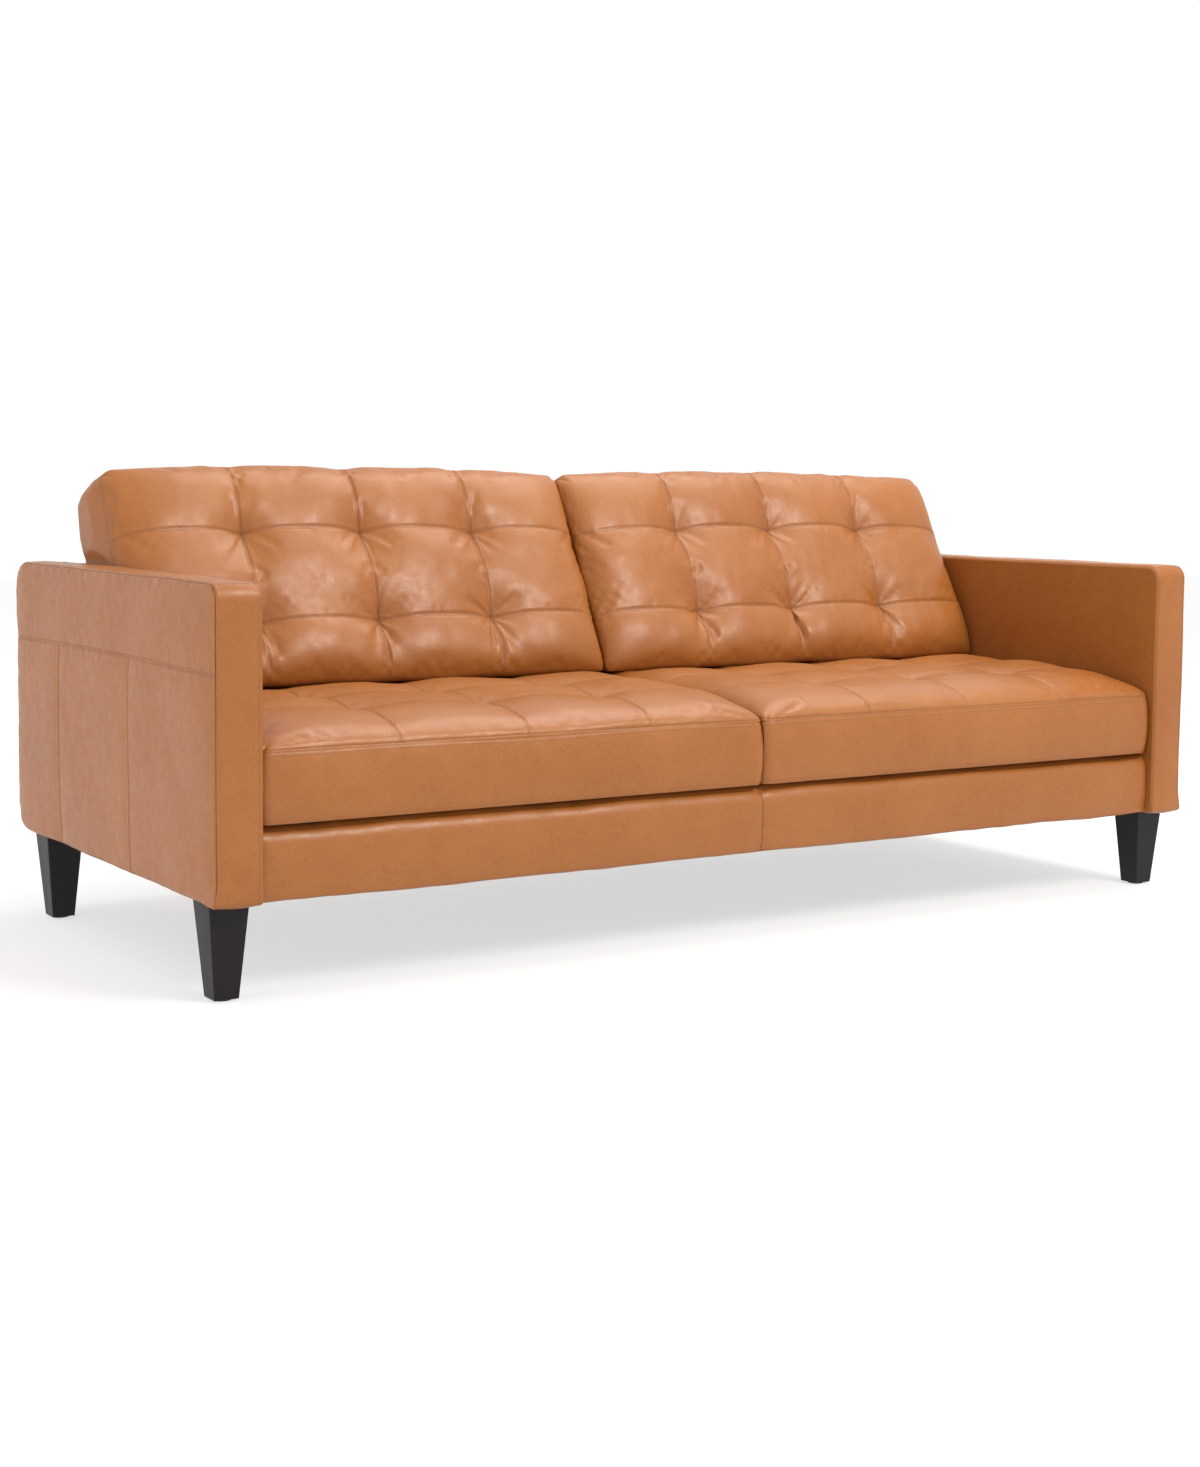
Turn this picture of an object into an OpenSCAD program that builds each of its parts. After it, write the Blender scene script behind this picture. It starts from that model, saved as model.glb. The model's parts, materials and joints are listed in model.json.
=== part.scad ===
// Three-seat sofa: slim padded track arms, loose seat and back cushions in pairs, tapered wooden legs.
// X runs across the sofa, the front faces -Y and Z = 0 is the floor. Sizes are in millimetres.

/* [Overall size] */
// Width across the outsides of the arms
overall_w = 2184; // [1800:2:2600]
// Depth of the arms from front to back
overall_d = 980; // [900:2:1180]
// Height of the arms above the floor
arm_h = 680; // [580:1:800]
// Height of the back cushions' tops above the floor
back_h = 872; // [800:1:1000]
// Height of the legs, glides included
leg_h = 163; // [110:1:190]

/* [Arms] */
// Thickness of one arm over its cover
arm_t = 86; // [76:1:140]
// Radius of the arm's top front corner, seen from the side
arm_brow_r = 22; // [12:1:40]
// Radius of the arm's bottom front corner
arm_toe_r = 11; // [10:1:20]
// Radius of the arm's top rear corner
arm_crest_r = 42; // [14:1:60]
// Radius of the arm's bottom rear corner
arm_heel_r = 50; // [14:1:60]

/* [Seat] */
// Height of the covered front rail's top edge
rail_top_h = 288; // [270:1:330]
// How far the front rail sits behind the arms' fronts
rail_setback = 20; // [10:1:40]
// How far the seat cushions' fronts sit behind the arms' fronts
seat_setback = 16; // [6:1:40]
// Height of the seam along the seat cushion's top front edge
seat_seam_h = 408; // [390:1:430]
// Height of the seat cushion's crown
seat_h = 463; // [450:1:490]
// Height of the seat cushion's rear edge, under the back cushion
seat_rear_h = 450; // [436:1:450]
// Radius of the seat cushion's top front edge
seat_nose_r = 44; // [20:1:46]

/* [Back] */
// Thickness of the low back behind the cushions, at its top
low_back_t = 148; // [120:1:190]
// Lean of the low back and of the back cushions' rear faces, in degrees
rear_lean = 10.8; // [6:0.1:14]
// Lean of the back cushions' front faces, in degrees
face_lean = 27; // [20:0.1:30]
// Thickness of the back cushion at its foot
back_foot_t = 221; // [190:1:235]
// How far the back cushion's front bulges at mid-height
back_crown = 28; // [5:1:40]
// Height of the back cushion's top rear edge above the floor
back_crest_h = 815; // [760:1:850]
// Radius of the back cushion's top front edge
back_brow_r = 22; // [10:1:40]
// Radius of the back cushion's top rear edge
back_crest_r = 24; // [10:1:40]

/* [Legs] */
// Width of a square leg at its top
leg_top_w = 70; // [56:1:72]
// Width of a square leg at the floor
leg_foot_w = 43; // [30:1:52]
// Distance from an arm's front to the centre of its front leg
leg_front_in = 78; // [60:1:140]
// Distance from an arm's rear to the centre of its rear leg
leg_rear_in = 112; // [70:1:160]

/* [Materials and fits] */
// Thickness of the leather covers
cover_t = 2; // [1:0.5:3]
// Thickness of the padding on the arms
arm_pad_t = 6; // [4:1:6]
// Thickness of the padding on the front rail
rail_pad_t = 13; // [8:1:20]
// Thickness of the padding on the low back
back_pad_t = 20; // [10:1:30]
// Thickness of the frame boards
board_t = 25; // [18:1:30]
// Thickness of the plywood arm and back panels
panel_t = 3; // [3:1:6]
// Gap between a cushion and what stands beside it
cushion_gap = 2; // [1:0.5:6]
// Gap between a cushion and what it rests on
rest_gap = 1; // [0.5:0.5:3]
// Radius of the M8 bolts
bolt_r = 4; // [3:0.5:5]
// Radial clearance of the bolts in their holes
bolt_fit = 0.05; // [0.05:0.05:0.2]
// Number of seat springs under each cushion
spring_count = 4; // [3:1:5]

/* [Hidden] */
$fn = 48;
leather = [0.70, 0.44, 0.27];
espresso = [0.09, 0.06, 0.05];
beech = [0.80, 0.64, 0.43];
plywood = [0.76, 0.62, 0.44];
foam = [0.93, 0.88, 0.72];
steel = [0.62, 0.63, 0.65];
black_cloth = [0.12, 0.12, 0.12];

front = -overall_d / 2;
rear = overall_d / 2;
arm_out = overall_w / 2;
arm_in = arm_out - arm_t;
lining = cover_t + arm_pad_t;
hem = 20;

sheet_t = 1;
layer_gap = 0.2;
hole_play = 0.5;
base_z = leg_h + sheet_t + cover_t + layer_gap + 0.3;
deck_z = rail_top_h - cover_t;
deck_pad_t = 10;
rail_front = front + rail_setback;
board_front = rail_front + cover_t + rail_pad_t;
clip_h = 8;
base_top = deck_z - deck_pad_t - clip_h;
rail_edge_r = 18;
rail_edge_steps = 6;
deck_hem = 70;

arm_base_rail_t = 48;
arm_top_rail_t = 32;
arm_rail_top = leg_h + arm_base_rail_t;
arm_cap_z = arm_h - lining - arm_top_rail_t;
arm_post_d = 90;

back_setback = 4;
back_rear = rear - back_setback;
back_top = arm_h - 4;
back_edge_r = 30;
back_crease_r = 20;
back_curve_steps = 6;
board_rear = back_rear - cover_t - panel_t;
cap_pad_t = 12;
cap_t = 22;
cap_z = back_top - cover_t - cap_pad_t - cap_t;
web_t = 1.5;
web_w = 50;
web_count = 4;
web_hem = 20;
wood_t = cover_t + back_pad_t + web_t + 0.6;
back_post_notch = 30;

seat_z = rail_top_h + rest_gap;
seat_front = front + seat_setback;
seat_rear = low_back_y(seat_z) - 3 * cushion_gap;
nose_reach = 3.2;
crown_share = 0.4;
seat_crown_front = seat_front + nose_reach * seat_nose_r;
seat_crown_rear = (1 - crown_share) * seat_front + crown_share * seat_rear;
cushion_out = arm_in - cushion_gap;
cushion_in = 0.75 * cushion_gap;
zip_w = 12;
zip_end = 40;
zip_play = 0.3;
seat_zip_up = 30;
back_zip_in = 60;

glide_t = 3;
glide_share = 0.72;
glide_pin_r = 1.2;
glide_pin_l = 15;
leg_chamfer = 2;
leg_bolt_in_leg = 35;
nut_h = 10;
nut_r = bolt_r + 1;
nut_flange_r = 11;
nut_flange_t = 1.5;
leg_shift = 2;
leg_x = arm_out - arm_t / 2 - leg_shift;
leg_places = [front + leg_front_in, rear - leg_rear_in];

arm_bolt_depths = [board_front + board_t + 20, board_rear - board_t - 32];
arm_bolt_heights = [arm_rail_top + 11, base_top - 16];
arm_bolt_grip = 45;
bolt_head_r = 1.7 * bolt_r;
bolt_head_t = 5.5;

block_leg = 70;
block_t = 35;
block_up = 4;
stretcher_drop = 12;

spring_w = 52;
wire_t = 3.7;
spring_pitch = 25;
clip_w = 16;
clip_d = 12;
spring_front = board_front + 17;
spring_rail_y = low_back_y(rail_top_h) + cover_t + 1;
spring_rear = spring_rail_y + 12;

// ---- Plane geometry: profiles lie in the plane of depth (first) and height (second) ----

// Depth of the low back's front face at height z
function low_back_y(z) = back_rear - low_back_t + tan(rear_lean) * (z - back_top);

// The same face moved back by t, measured square to it
function behind_face(z, t) = low_back_y(z) + t / cos(rear_lean);

// Depth of the back cushion's rear face at height z
function cushion_rear_y(z) = low_back_y(z) - 2 * cushion_gap;

// Height of the seat cushion's top behind its crown
function seat_top(y) =
    seat_h - (seat_h - seat_rear_h) * (y - seat_crown_rear) / (seat_rear - seat_crown_rear);

// Points on an arc about c from angle a0 to a1
function arc(c, r, a0, a1, steps = 6) =
    [for (i = [0:steps]) let (a = a0 + (a1 - a0) * i / steps) c + r * [cos(a), sin(a)]];

function right_of(d) = [d[1], -d[0]] / norm(d);

// The point b of the path a, b, c, moved t to the right of the path
function mitre(a, b, c, t) = let (u = right_of(b - a), v = right_of(c - b)) b + t * (u + v) / (1 + u * v);

// A clockwise loop moved inwards by t
function inset(p, t) =
    let (n = len(p)) [for (i = [0:n - 1]) mitre(p[(i + n - 1) % n], p[i], p[(i + 1) % n], t)];

function before(p, i) = i > 0 ? p[i - 1] : 2 * p[0] - p[1];

function after(p, i) = i < len(p) - 1 ? p[i + 1] : 2 * p[i] - p[i - 1];

// An open path moved t to its right
function shifted(p, t) = [for (i = [0:len(p) - 1]) mitre(before(p, i), p[i], after(p, i), t)];

// A sheet of thickness t laid along the right of an open path
function sheet(p, t) = let (q = shifted(p, t)) concat(p, [for (i = [len(q) - 1:-1:0]) q[i]]);

// The line from a to b, bowed to its left into a parabola of the given height, without b
function crowned(a, b, height, steps = 6) =
    [for (i = [0:steps - 1]) let (t = i / steps) a + t * (b - a) - 4 * height * t * (1 - t) * right_of(b - a)];

// Side view of an arm, t inside its cover
function arm_outline(t) = concat(
    arc([front + arm_toe_r, leg_h + arm_toe_r], arm_toe_r - t, 270, 180),
    arc([front + arm_brow_r, arm_h - arm_brow_r], arm_brow_r - t, 180, 90),
    arc([rear - arm_crest_r, arm_h - arm_crest_r], arm_crest_r - t, 90, 0),
    arc([rear - arm_heel_r, leg_h + arm_heel_r], arm_heel_r - t, 0, -90));

// Side view of a seat cushion
function seat_profile() = concat(
    [[seat_front, seat_z]],
    arc([seat_front + seat_nose_r, seat_seam_h], seat_nose_r, 180, 105),
    [[seat_crown_front, seat_h], [seat_crown_rear, seat_h], [seat_rear, seat_rear_h], [seat_rear, seat_z]]);

// Side view of a back cushion: a leaning wedge with a crowned front and a top band that falls to the rear
function back_profile() =
    let (
        foot_rear = cushion_rear_y(seat_rear_h),
        foot_front = foot_rear - back_foot_t,
        foot_z = seat_top(foot_front) + rest_gap,
        brow_z = back_h - back_brow_r,
        rise = brow_z - foot_z,
        turn = atan(4 * back_crown / rise),
        brow = [foot_front + tan(face_lean) * rise + back_brow_r / cos(face_lean), brow_z],
        crest_z = back_crest_h - back_crest_r,
        crest = [cushion_rear_y(crest_z) - back_crest_r / cos(rear_lean), crest_z],
        band = crest - brow,
        band_a = atan2(band[1], band[0]) + acos((back_brow_r - back_crest_r) / norm(band)),
        brow_arc = arc(brow, back_brow_r, 180 - face_lean - turn, band_a),
        heel_z = seat_rear_h + rest_gap)
    concat(
        crowned([foot_front, foot_z], brow_arc[0], back_crown),
        brow_arc,
        arc(crest, back_crest_r, band_a, -rear_lean),
        [[cushion_rear_y(heel_z), heel_z], [seat_rear, heel_z]]);

// Path of the low back's cover: up the front face, over the top and down the outside
function back_path() = concat(
    [[low_back_y(rail_top_h), rail_top_h]],
    arc([behind_face(back_top - back_edge_r, back_edge_r), back_top - back_edge_r],
        back_edge_r, 180 - rear_lean, 90, back_curve_steps),
    arc([back_rear - back_crease_r, back_top - back_crease_r], back_crease_r, 90, 0, back_curve_steps),
    [[back_rear, base_z - cover_t], [back_rear - 2 * hem, base_z - cover_t]]);

// Path of the front rail's cover: under the rail, up its front and back over the deck
function rail_path() = concat(
    [[rail_front + 1.5 * hem, base_z - cover_t], [rail_front, base_z - cover_t]],
    arc([rail_front + rail_edge_r, rail_top_h - rail_edge_r], rail_edge_r, 180, 90, rail_edge_steps),
    [[rail_front + deck_hem, rail_top_h]]);

// ---- Helpers ----

// A profile carried across the sofa from x0 to x1
module across(x0, x1) {
    translate([x0, 0, 0])
        rotate([90, 0, 90])
            linear_extrude(x1 - x0)
                children();
}

module box(low, high) {
    translate(low)
        cube(high - low);
}

// Shapes are drawn for the right of the sofa (+X), and side(-1) mirrors them to the left
module side(s) {
    if (s > 0)
        children();
    else
        mirror([1, 0, 0])
            children();
}

// ---- Bolts and their places ----

module at_legs() {
    for (s = [-1, 1], y = leg_places)
        translate([s * leg_x, y, 0])
            children();
}

// Places of the bolts that hold the right arm to the seat frame, pointing into the arm
module at_arm_bolts() {
    for (y = arm_bolt_depths, z = arm_bolt_heights)
        translate([arm_in, y, z])
            rotate([0, 90, 0])
                children();
}

module arm_bolt_holes(r) {
    at_arm_bolts()
        translate([0, 0, -board_t - 1])
            cylinder(r = r, h = board_t + lining + panel_t + arm_bolt_grip + 3);
}

module leg_bolt_holes(r, low, high) {
    at_legs()
        translate([0, 0, low])
            cylinder(r = r, h = high - low);
}

// ---- Arms ----

// Space inside the arm's lining, where its frame stands
module arm_core(x0, x1) {
    across(x0, x1)
        polygon(arm_outline(lining));
}

// Bottom of the arm frame, between the hems of the cover
module arm_sole() {
    box([arm_in + lining, front + arm_toe_r + hem, leg_h + cover_t],
        [arm_out - lining, rear - arm_heel_r - hem, leg_h + lining]);
}

module arm_cover(s) {
    color(leather)
        side(s)
            difference() {
                across(arm_in, arm_out)
                    polygon(arm_outline(0));
                across(arm_in + cover_t, arm_out - cover_t)
                    polygon(arm_outline(cover_t));
                box([arm_in + hem, front + 2 * hem, leg_h - 1],
                    [arm_out - hem, rear - 3 * hem, leg_h + cover_t + 1]);
                arm_bolt_holes(bolt_r + hole_play);
            }
}

module arm_padding(s) {
    color(foam)
        side(s)
            difference() {
                across(arm_in + cover_t, arm_out - cover_t)
                    polygon(arm_outline(cover_t));
                arm_core(arm_in + lining, arm_out - lining);
                arm_sole();
                arm_bolt_holes(bolt_r + hole_play);
            }
}

// A member of the arm frame between two depths and two heights
module arm_member(y0, y1, z0, z1) {
    intersection() {
        arm_core(arm_in + lining + panel_t, arm_out - lining - panel_t);
        box([arm_in, y0, z0], [arm_out, y1, z1]);
    }
}

module arm_front_post(s) {
    color(beech)
        side(s)
            difference() {
                arm_member(front, front + lining + arm_post_d, arm_rail_top, arm_cap_z);
                arm_bolt_holes(bolt_r + bolt_fit);
            }
}

module arm_rear_post(s) {
    color(beech)
        side(s)
            difference() {
                arm_member(rear - lining - arm_post_d, rear, arm_rail_top, arm_cap_z);
                arm_bolt_holes(bolt_r + bolt_fit);
            }
}

module arm_top_rail(s) {
    color(beech)
        side(s)
            arm_member(front, rear, arm_cap_z, arm_h);
}

module arm_base_rail(s) {
    color(beech)
        side(s)
            difference() {
                union() {
                    arm_member(front, rear, leg_h, arm_rail_top);
                    arm_sole();
                }
                leg_bolt_holes(bolt_r + hole_play, leg_h, arm_rail_top + 1);
                leg_bolt_holes(nut_r + 0.1, arm_rail_top - nut_h - hole_play, arm_rail_top + 1);
                leg_bolt_holes(nut_flange_r + 0.1, arm_rail_top - nut_flange_t, arm_rail_top + 1);
            }
}

module arm_inner_panel(s) {
    color(plywood)
        side(s)
            difference() {
                arm_core(arm_in + lining, arm_in + lining + panel_t);
                arm_bolt_holes(bolt_r + hole_play);
            }
}

module arm_outer_panel(s) {
    color(plywood)
        side(s)
            arm_core(arm_out - lining - panel_t, arm_out - lining);
}

module arm_bolts() {
    color(steel)
        for (s = [-1, 1])
            side(s)
                at_arm_bolts() {
                    translate([0, 0, -board_t])
                        cylinder(r = bolt_r, h = board_t + lining + panel_t + arm_bolt_grip);
                    translate([0, 0, -board_t - bolt_head_t])
                        cylinder(r = bolt_head_r, h = bolt_head_t, $fn = 6);
                }
}

// ---- Seat frame ----

module front_rail() {
    color(beech)
        box([board_t - arm_in, board_front, base_z], [arm_in - board_t, board_front + board_t, base_top]);
}

module spring_rail() {
    color(beech)
        box([board_t - arm_in, spring_rail_y, base_z], [arm_in - board_t, spring_rail_y + board_t, base_top]);
}

module rear_rail() {
    color(beech)
        box([board_t - arm_in, board_rear - board_t, base_z], [arm_in - board_t, board_rear, base_top]);
}

module side_rail(s) {
    color(beech)
        side(s)
            difference() {
                box([arm_in - board_t, board_front, base_z], [arm_in, board_rear, base_top]);
                arm_bolt_holes(bolt_r + hole_play);
            }
}

module centre_stretcher() {
    color(beech)
        box([-board_t / 2, board_front + board_t, base_z],
            [board_t / 2, spring_rail_y, base_top - stretcher_drop]);
}

module corner_blocks() {
    color(beech)
        for (s = [-1, 1], end = [[board_front + board_t, 1], [spring_rail_y, -1]])
            side(s)
                translate([arm_in - board_t, end[0], base_z + block_up])
                    linear_extrude(block_t)
                        polygon([[0, 0], [-block_leg, 0], [0, end[1] * block_leg]]);
}

// Centre line of a zigzag spring: straight bars across, joined by half circles
function spring_line() =
    let (bars = 2 * floor((spring_rear - spring_front) / (2 * spring_pitch)) + 1,
         pitch = (spring_rear - spring_front) / (bars - 1),
         reach = spring_w / 2 - pitch / 2 - wire_t / 2)
    [for (i = [0:bars - 1])
        let (s = i % 2 == 0 ? 1 : -1, y = spring_front + i * pitch)
            each concat(
                i == 0 ? [[-s * reach, y]] : [],
                i == bars - 1 ? [[s * reach, y]]
                    : [for (a = [-90:45:90])
                        [s * (reach + pitch / 2 * cos(a)), y + pitch / 2 * (1 + sin(a))]])];

function spring_x(i) = arm_in * (i + 0.5) / spring_count;

module spring_wire() {
    translate([0, 0, base_top + (clip_h - wire_t) / 2])
        linear_extrude(wire_t)
            polygon(sheet(shifted(spring_line(), -wire_t / 2), wire_t));
}

module seat_springs(s) {
    color(steel)
        side(s)
            for (i = [0:spring_count - 1])
                translate([spring_x(i), 0, 0])
                    spring_wire();
}

// Clips screwed on the rails, each holding the end bar of a spring
module spring_clips() {
    slot = wire_t + 0.8;
    color(steel)
        for (s = [-1, 1], i = [0:spring_count - 1], y = [spring_front, spring_rear])
            translate([s * spring_x(i), y, base_top])
                difference() {
                    box([-clip_w / 2, -clip_d / 2, 0], [clip_w / 2, clip_d / 2, clip_h]);
                    box([-clip_w / 2 - 1, -slot / 2, (clip_h - slot) / 2],
                        [clip_w / 2 + 1, slot / 2, (clip_h + slot) / 2]);
                }
}

module deck_pad() {
    color(black_cloth)
        box([1 - arm_in, board_front + 8, deck_z - deck_pad_t], [arm_in - 1, spring_rail_y - 2, deck_z]);
}

module dust_cover() {
    color(black_cloth)
        box([1 - arm_in, rail_front + 5, base_z - cover_t - sheet_t],
            [arm_in - 1, back_rear - 5, base_z - cover_t]);
}

module front_rail_padding() {
    skin = shifted(rail_path(), cover_t + layer_gap);
    last = rail_edge_steps + 2;
    lip = board_front + 7;
    color(foam)
        across(1 - arm_in, arm_in - 1)
            polygon(concat(
                [for (i = [1:last]) skin[i]],
                [[lip, skin[last][1]], [lip, base_top], [board_front, base_top], [board_front, skin[1][1]]]));
}

module front_rail_cover() {
    color(leather)
        across(-arm_in, arm_in)
            polygon(sheet(rail_path(), cover_t));
}

// ---- Low back ----

// A gusset post stands on the side rail against the arm
module back_post(s) {
    color(plywood)
        side(s)
            across(arm_in - board_t, arm_in)
                polygon([[behind_face(base_top, wood_t), base_top], [behind_face(cap_z, wood_t), cap_z],
                         [board_rear, cap_z], [board_rear, base_top]]);
}

// The centre gusset reaches down between the spring rail and the rear rail
module back_centre_post() {
    low_front = spring_rail_y + board_t;
    notch_z = base_top + back_post_notch;
    color(plywood)
        across(-board_t / 2, board_t / 2)
            polygon([[low_front, base_z], [low_front, base_top],
                     [behind_face(notch_z, wood_t), notch_z],
                     [behind_face(cap_z, wood_t), cap_z], [board_rear, cap_z], [board_rear, base_top],
                     [board_rear - board_t, base_top], [board_rear - board_t, base_z]]);
}

module back_top_rail() {
    color(beech)
        box([2 - arm_in, behind_face(cap_z + cap_t, wood_t), cap_z], [arm_in - 2, board_rear, cap_z + cap_t]);
}

module back_panel() {
    color(plywood)
        box([2 - arm_in, board_rear, base_z],
            [arm_in - 2, board_rear + panel_t, back_top - back_crease_r - 2]);
}

module back_webbing() {
    t = cover_t + back_pad_t + 0.3;
    low = base_top + back_post_notch + 2;
    high = cap_z + web_hem;
    color(black_cloth)
        for (s = [-1, 1], i = [0:web_count - 1])
            translate([s * arm_in * (i + 0.55) / (web_count + 0.2), 0, 0])
                across(-web_w / 2, web_w / 2)
                    polygon([[behind_face(low, t), low], [behind_face(high, t), high],
                             [behind_face(high, t + web_t), high], [behind_face(low, t + web_t), low]]);
}

module back_padding() {
    skin = shifted(back_path(), cover_t + layer_gap);
    inner = cover_t + back_pad_t;
    low = skin[0][1];
    top = cap_z + cap_t;
    color(foam)
        across(1 - arm_in, arm_in - 1)
            polygon(concat(
                [for (i = [0:2 * back_curve_steps]) skin[i]],
                [[board_rear, top], [behind_face(top, inner), top], [behind_face(low, inner), low]]));
}

module back_cover() {
    color(leather)
        across(-arm_in, arm_in)
            polygon(sheet(back_path(), cover_t));
}

// ---- Legs ----

// A square leg that narrows evenly to its foot, with a small chamfer around the sole
module leg(s, y) {
    top = leg_top_w / 2;
    foot = leg_foot_w / 2;
    levels = [[foot - leg_chamfer, glide_t], [foot, glide_t + leg_chamfer], [top, leg_h]];
    corners = [for (l = levels, c = [[-1, -1], [1, -1], [1, 1], [-1, 1]]) [c[0] * l[0], c[1] * l[0], l[1]]];
    walls = [for (k = [0, 4], i = [0:3]) [k + i, k + 4 + i, k + 4 + (i + 1) % 4, k + (i + 1) % 4]];
    color(espresso)
        translate([s * leg_x, y, 0])
            difference() {
                polyhedron(points = corners, faces = concat([[0, 1, 2, 3]], walls, [[11, 10, 9, 8]]));
                translate([0, 0, leg_h - leg_bolt_in_leg - 1])
                    cylinder(r = bolt_r + bolt_fit, h = leg_bolt_in_leg + 2);
                translate([0, 0, glide_t - 1])
                    cylinder(r = glide_pin_r + bolt_fit, h = glide_pin_l + 3);
            }
}

// Hanger bolts: one end in the leg, the other in the tee nut above
module leg_bolts() {
    color(steel)
        at_legs()
            translate([0, 0, leg_h - leg_bolt_in_leg])
                cylinder(r = bolt_r, h = leg_bolt_in_leg + arm_rail_top - leg_h - 1);
}

module tee_nuts() {
    color(steel)
        at_legs()
            difference() {
                union() {
                    translate([0, 0, arm_rail_top - nut_h])
                        cylinder(r = nut_r, h = nut_h);
                    translate([0, 0, arm_rail_top - nut_flange_t])
                        cylinder(r = nut_flange_r, h = nut_flange_t);
                }
                translate([0, 0, arm_rail_top - nut_h - 1])
                    cylinder(r = bolt_r + bolt_fit, h = nut_h + 2);
            }
}

module leg_glides() {
    color(black_cloth)
        at_legs()
            union() {
                cylinder(r = glide_share * leg_foot_w / 2, h = glide_t);
                cylinder(r = glide_pin_r, h = glide_t + glide_pin_l);
            }
}

// ---- Cushions ----

// A profile's solid, t inside a cushion's cover
module cushion_body(profile, t) {
    across(cushion_in + t, cushion_out - t)
        polygon(t > 0 ? inset(profile, t) : profile);
}

// The strip of a cushion's wall where its zip runs
module seat_zip_zone(play) {
    z = seat_z + seat_zip_up;
    box([cushion_in + zip_end + play, seat_rear - 10, z + play],
        [cushion_out - zip_end - play, seat_rear + 1, z + zip_w - play]);
}

module back_zip_zone(play) {
    y = seat_rear - back_zip_in;
    box([cushion_in + zip_end + play, y + play, seat_rear_h - 5],
        [cushion_out - zip_end - play, y + zip_w - play, seat_h]);
}

module cushion_cover(profile) {
    difference() {
        cushion_body(profile, 0);
        cushion_body(profile, cover_t);
        children();
    }
}

module zip_strip(profile) {
    intersection() {
        difference() {
            cushion_body(profile, 0);
            cushion_body(profile, 0.8 * cover_t);
        }
        children();
    }
}

module seat_cushion_cover(s) {
    color(leather)
        side(s)
            cushion_cover(seat_profile())
                seat_zip_zone(0);
}

module seat_cushion_foam(s) {
    color(foam)
        side(s)
            cushion_body(seat_profile(), cover_t + layer_gap);
}

module seat_cushion_zip(s) {
    color(black_cloth)
        side(s)
            zip_strip(seat_profile())
                seat_zip_zone(zip_play);
}

module back_cushion_cover(s) {
    color(leather)
        side(s)
            cushion_cover(back_profile())
                back_zip_zone(0);
}

module back_cushion_filling(s) {
    color(foam)
        side(s)
            cushion_body(back_profile(), cover_t + layer_gap);
}

module back_cushion_zip(s) {
    color(black_cloth)
        side(s)
            zip_strip(back_profile())
                back_zip_zone(zip_play);
}

front_rail();
spring_rail();
rear_rail();
side_rail(-1);  // left_side_rail
side_rail(1);  // right_side_rail
centre_stretcher();
corner_blocks();
seat_springs(-1);  // left_seat_springs
seat_springs(1);  // right_seat_springs
spring_clips();
deck_pad();
dust_cover();
front_rail_padding();
front_rail_cover();
arm_front_post(-1);  // left_arm_front_post
arm_rear_post(-1);  // left_arm_rear_post
arm_top_rail(-1);  // left_arm_top_rail
arm_base_rail(-1);  // left_arm_base_rail
arm_inner_panel(-1);  // left_arm_inner_panel
arm_outer_panel(-1);  // left_arm_outer_panel
arm_padding(-1);  // left_arm_padding
arm_cover(-1);  // left_arm_cover
arm_front_post(1);  // right_arm_front_post
arm_rear_post(1);  // right_arm_rear_post
arm_top_rail(1);  // right_arm_top_rail
arm_base_rail(1);  // right_arm_base_rail
arm_inner_panel(1);  // right_arm_inner_panel
arm_outer_panel(1);  // right_arm_outer_panel
arm_padding(1);  // right_arm_padding
arm_cover(1);  // right_arm_cover
arm_bolts();
back_post(-1);  // left_back_post
back_centre_post();  // centre_back_post
back_post(1);  // right_back_post
back_top_rail();
back_panel();
back_webbing();
back_padding();
back_cover();
leg(-1, leg_places[0]);  // front_left_leg
leg(1, leg_places[0]);  // front_right_leg
leg(-1, leg_places[1]);  // rear_left_leg
leg(1, leg_places[1]);  // rear_right_leg
leg_bolts();
tee_nuts();
leg_glides();
seat_cushion_cover(-1);  // left_seat_cover
seat_cushion_foam(-1);  // left_seat_foam
seat_cushion_zip(-1);  // left_seat_zip
seat_cushion_cover(1);  // right_seat_cover
seat_cushion_foam(1);  // right_seat_foam
seat_cushion_zip(1);  // right_seat_zip
back_cushion_cover(-1);  // left_back_cushion_cover
back_cushion_filling(-1);  // left_back_cushion_filling
back_cushion_zip(-1);  // left_back_cushion_zip
back_cushion_cover(1);  // right_back_cushion_cover
back_cushion_filling(1);  // right_back_cushion_filling
back_cushion_zip(1);  // right_back_cushion_zip
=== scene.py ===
import json
import math

import bpy
import numpy as np
from bpy.props import FloatProperty, FloatVectorProperty, PointerProperty
from mathutils import Matrix, Vector


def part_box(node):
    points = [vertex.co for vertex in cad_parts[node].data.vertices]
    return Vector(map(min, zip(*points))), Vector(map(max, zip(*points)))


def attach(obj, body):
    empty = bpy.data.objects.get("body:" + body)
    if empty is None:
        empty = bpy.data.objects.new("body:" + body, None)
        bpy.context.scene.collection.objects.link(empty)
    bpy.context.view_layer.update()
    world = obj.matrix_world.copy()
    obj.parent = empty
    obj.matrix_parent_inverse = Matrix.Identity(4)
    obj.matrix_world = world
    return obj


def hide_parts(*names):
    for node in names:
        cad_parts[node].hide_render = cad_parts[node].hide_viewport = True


bl_info = {
    "name": "Tufted leather sofa",
    "version": (1, 0, 0),
    "blender": (4, 5, 0),
    "location": "3D View > Sidebar > Sofa",
    "description": "Upholsters the frame of a three-seat sofa in tan leather and sets it in a pale studio",
    "category": "Object",
}

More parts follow.
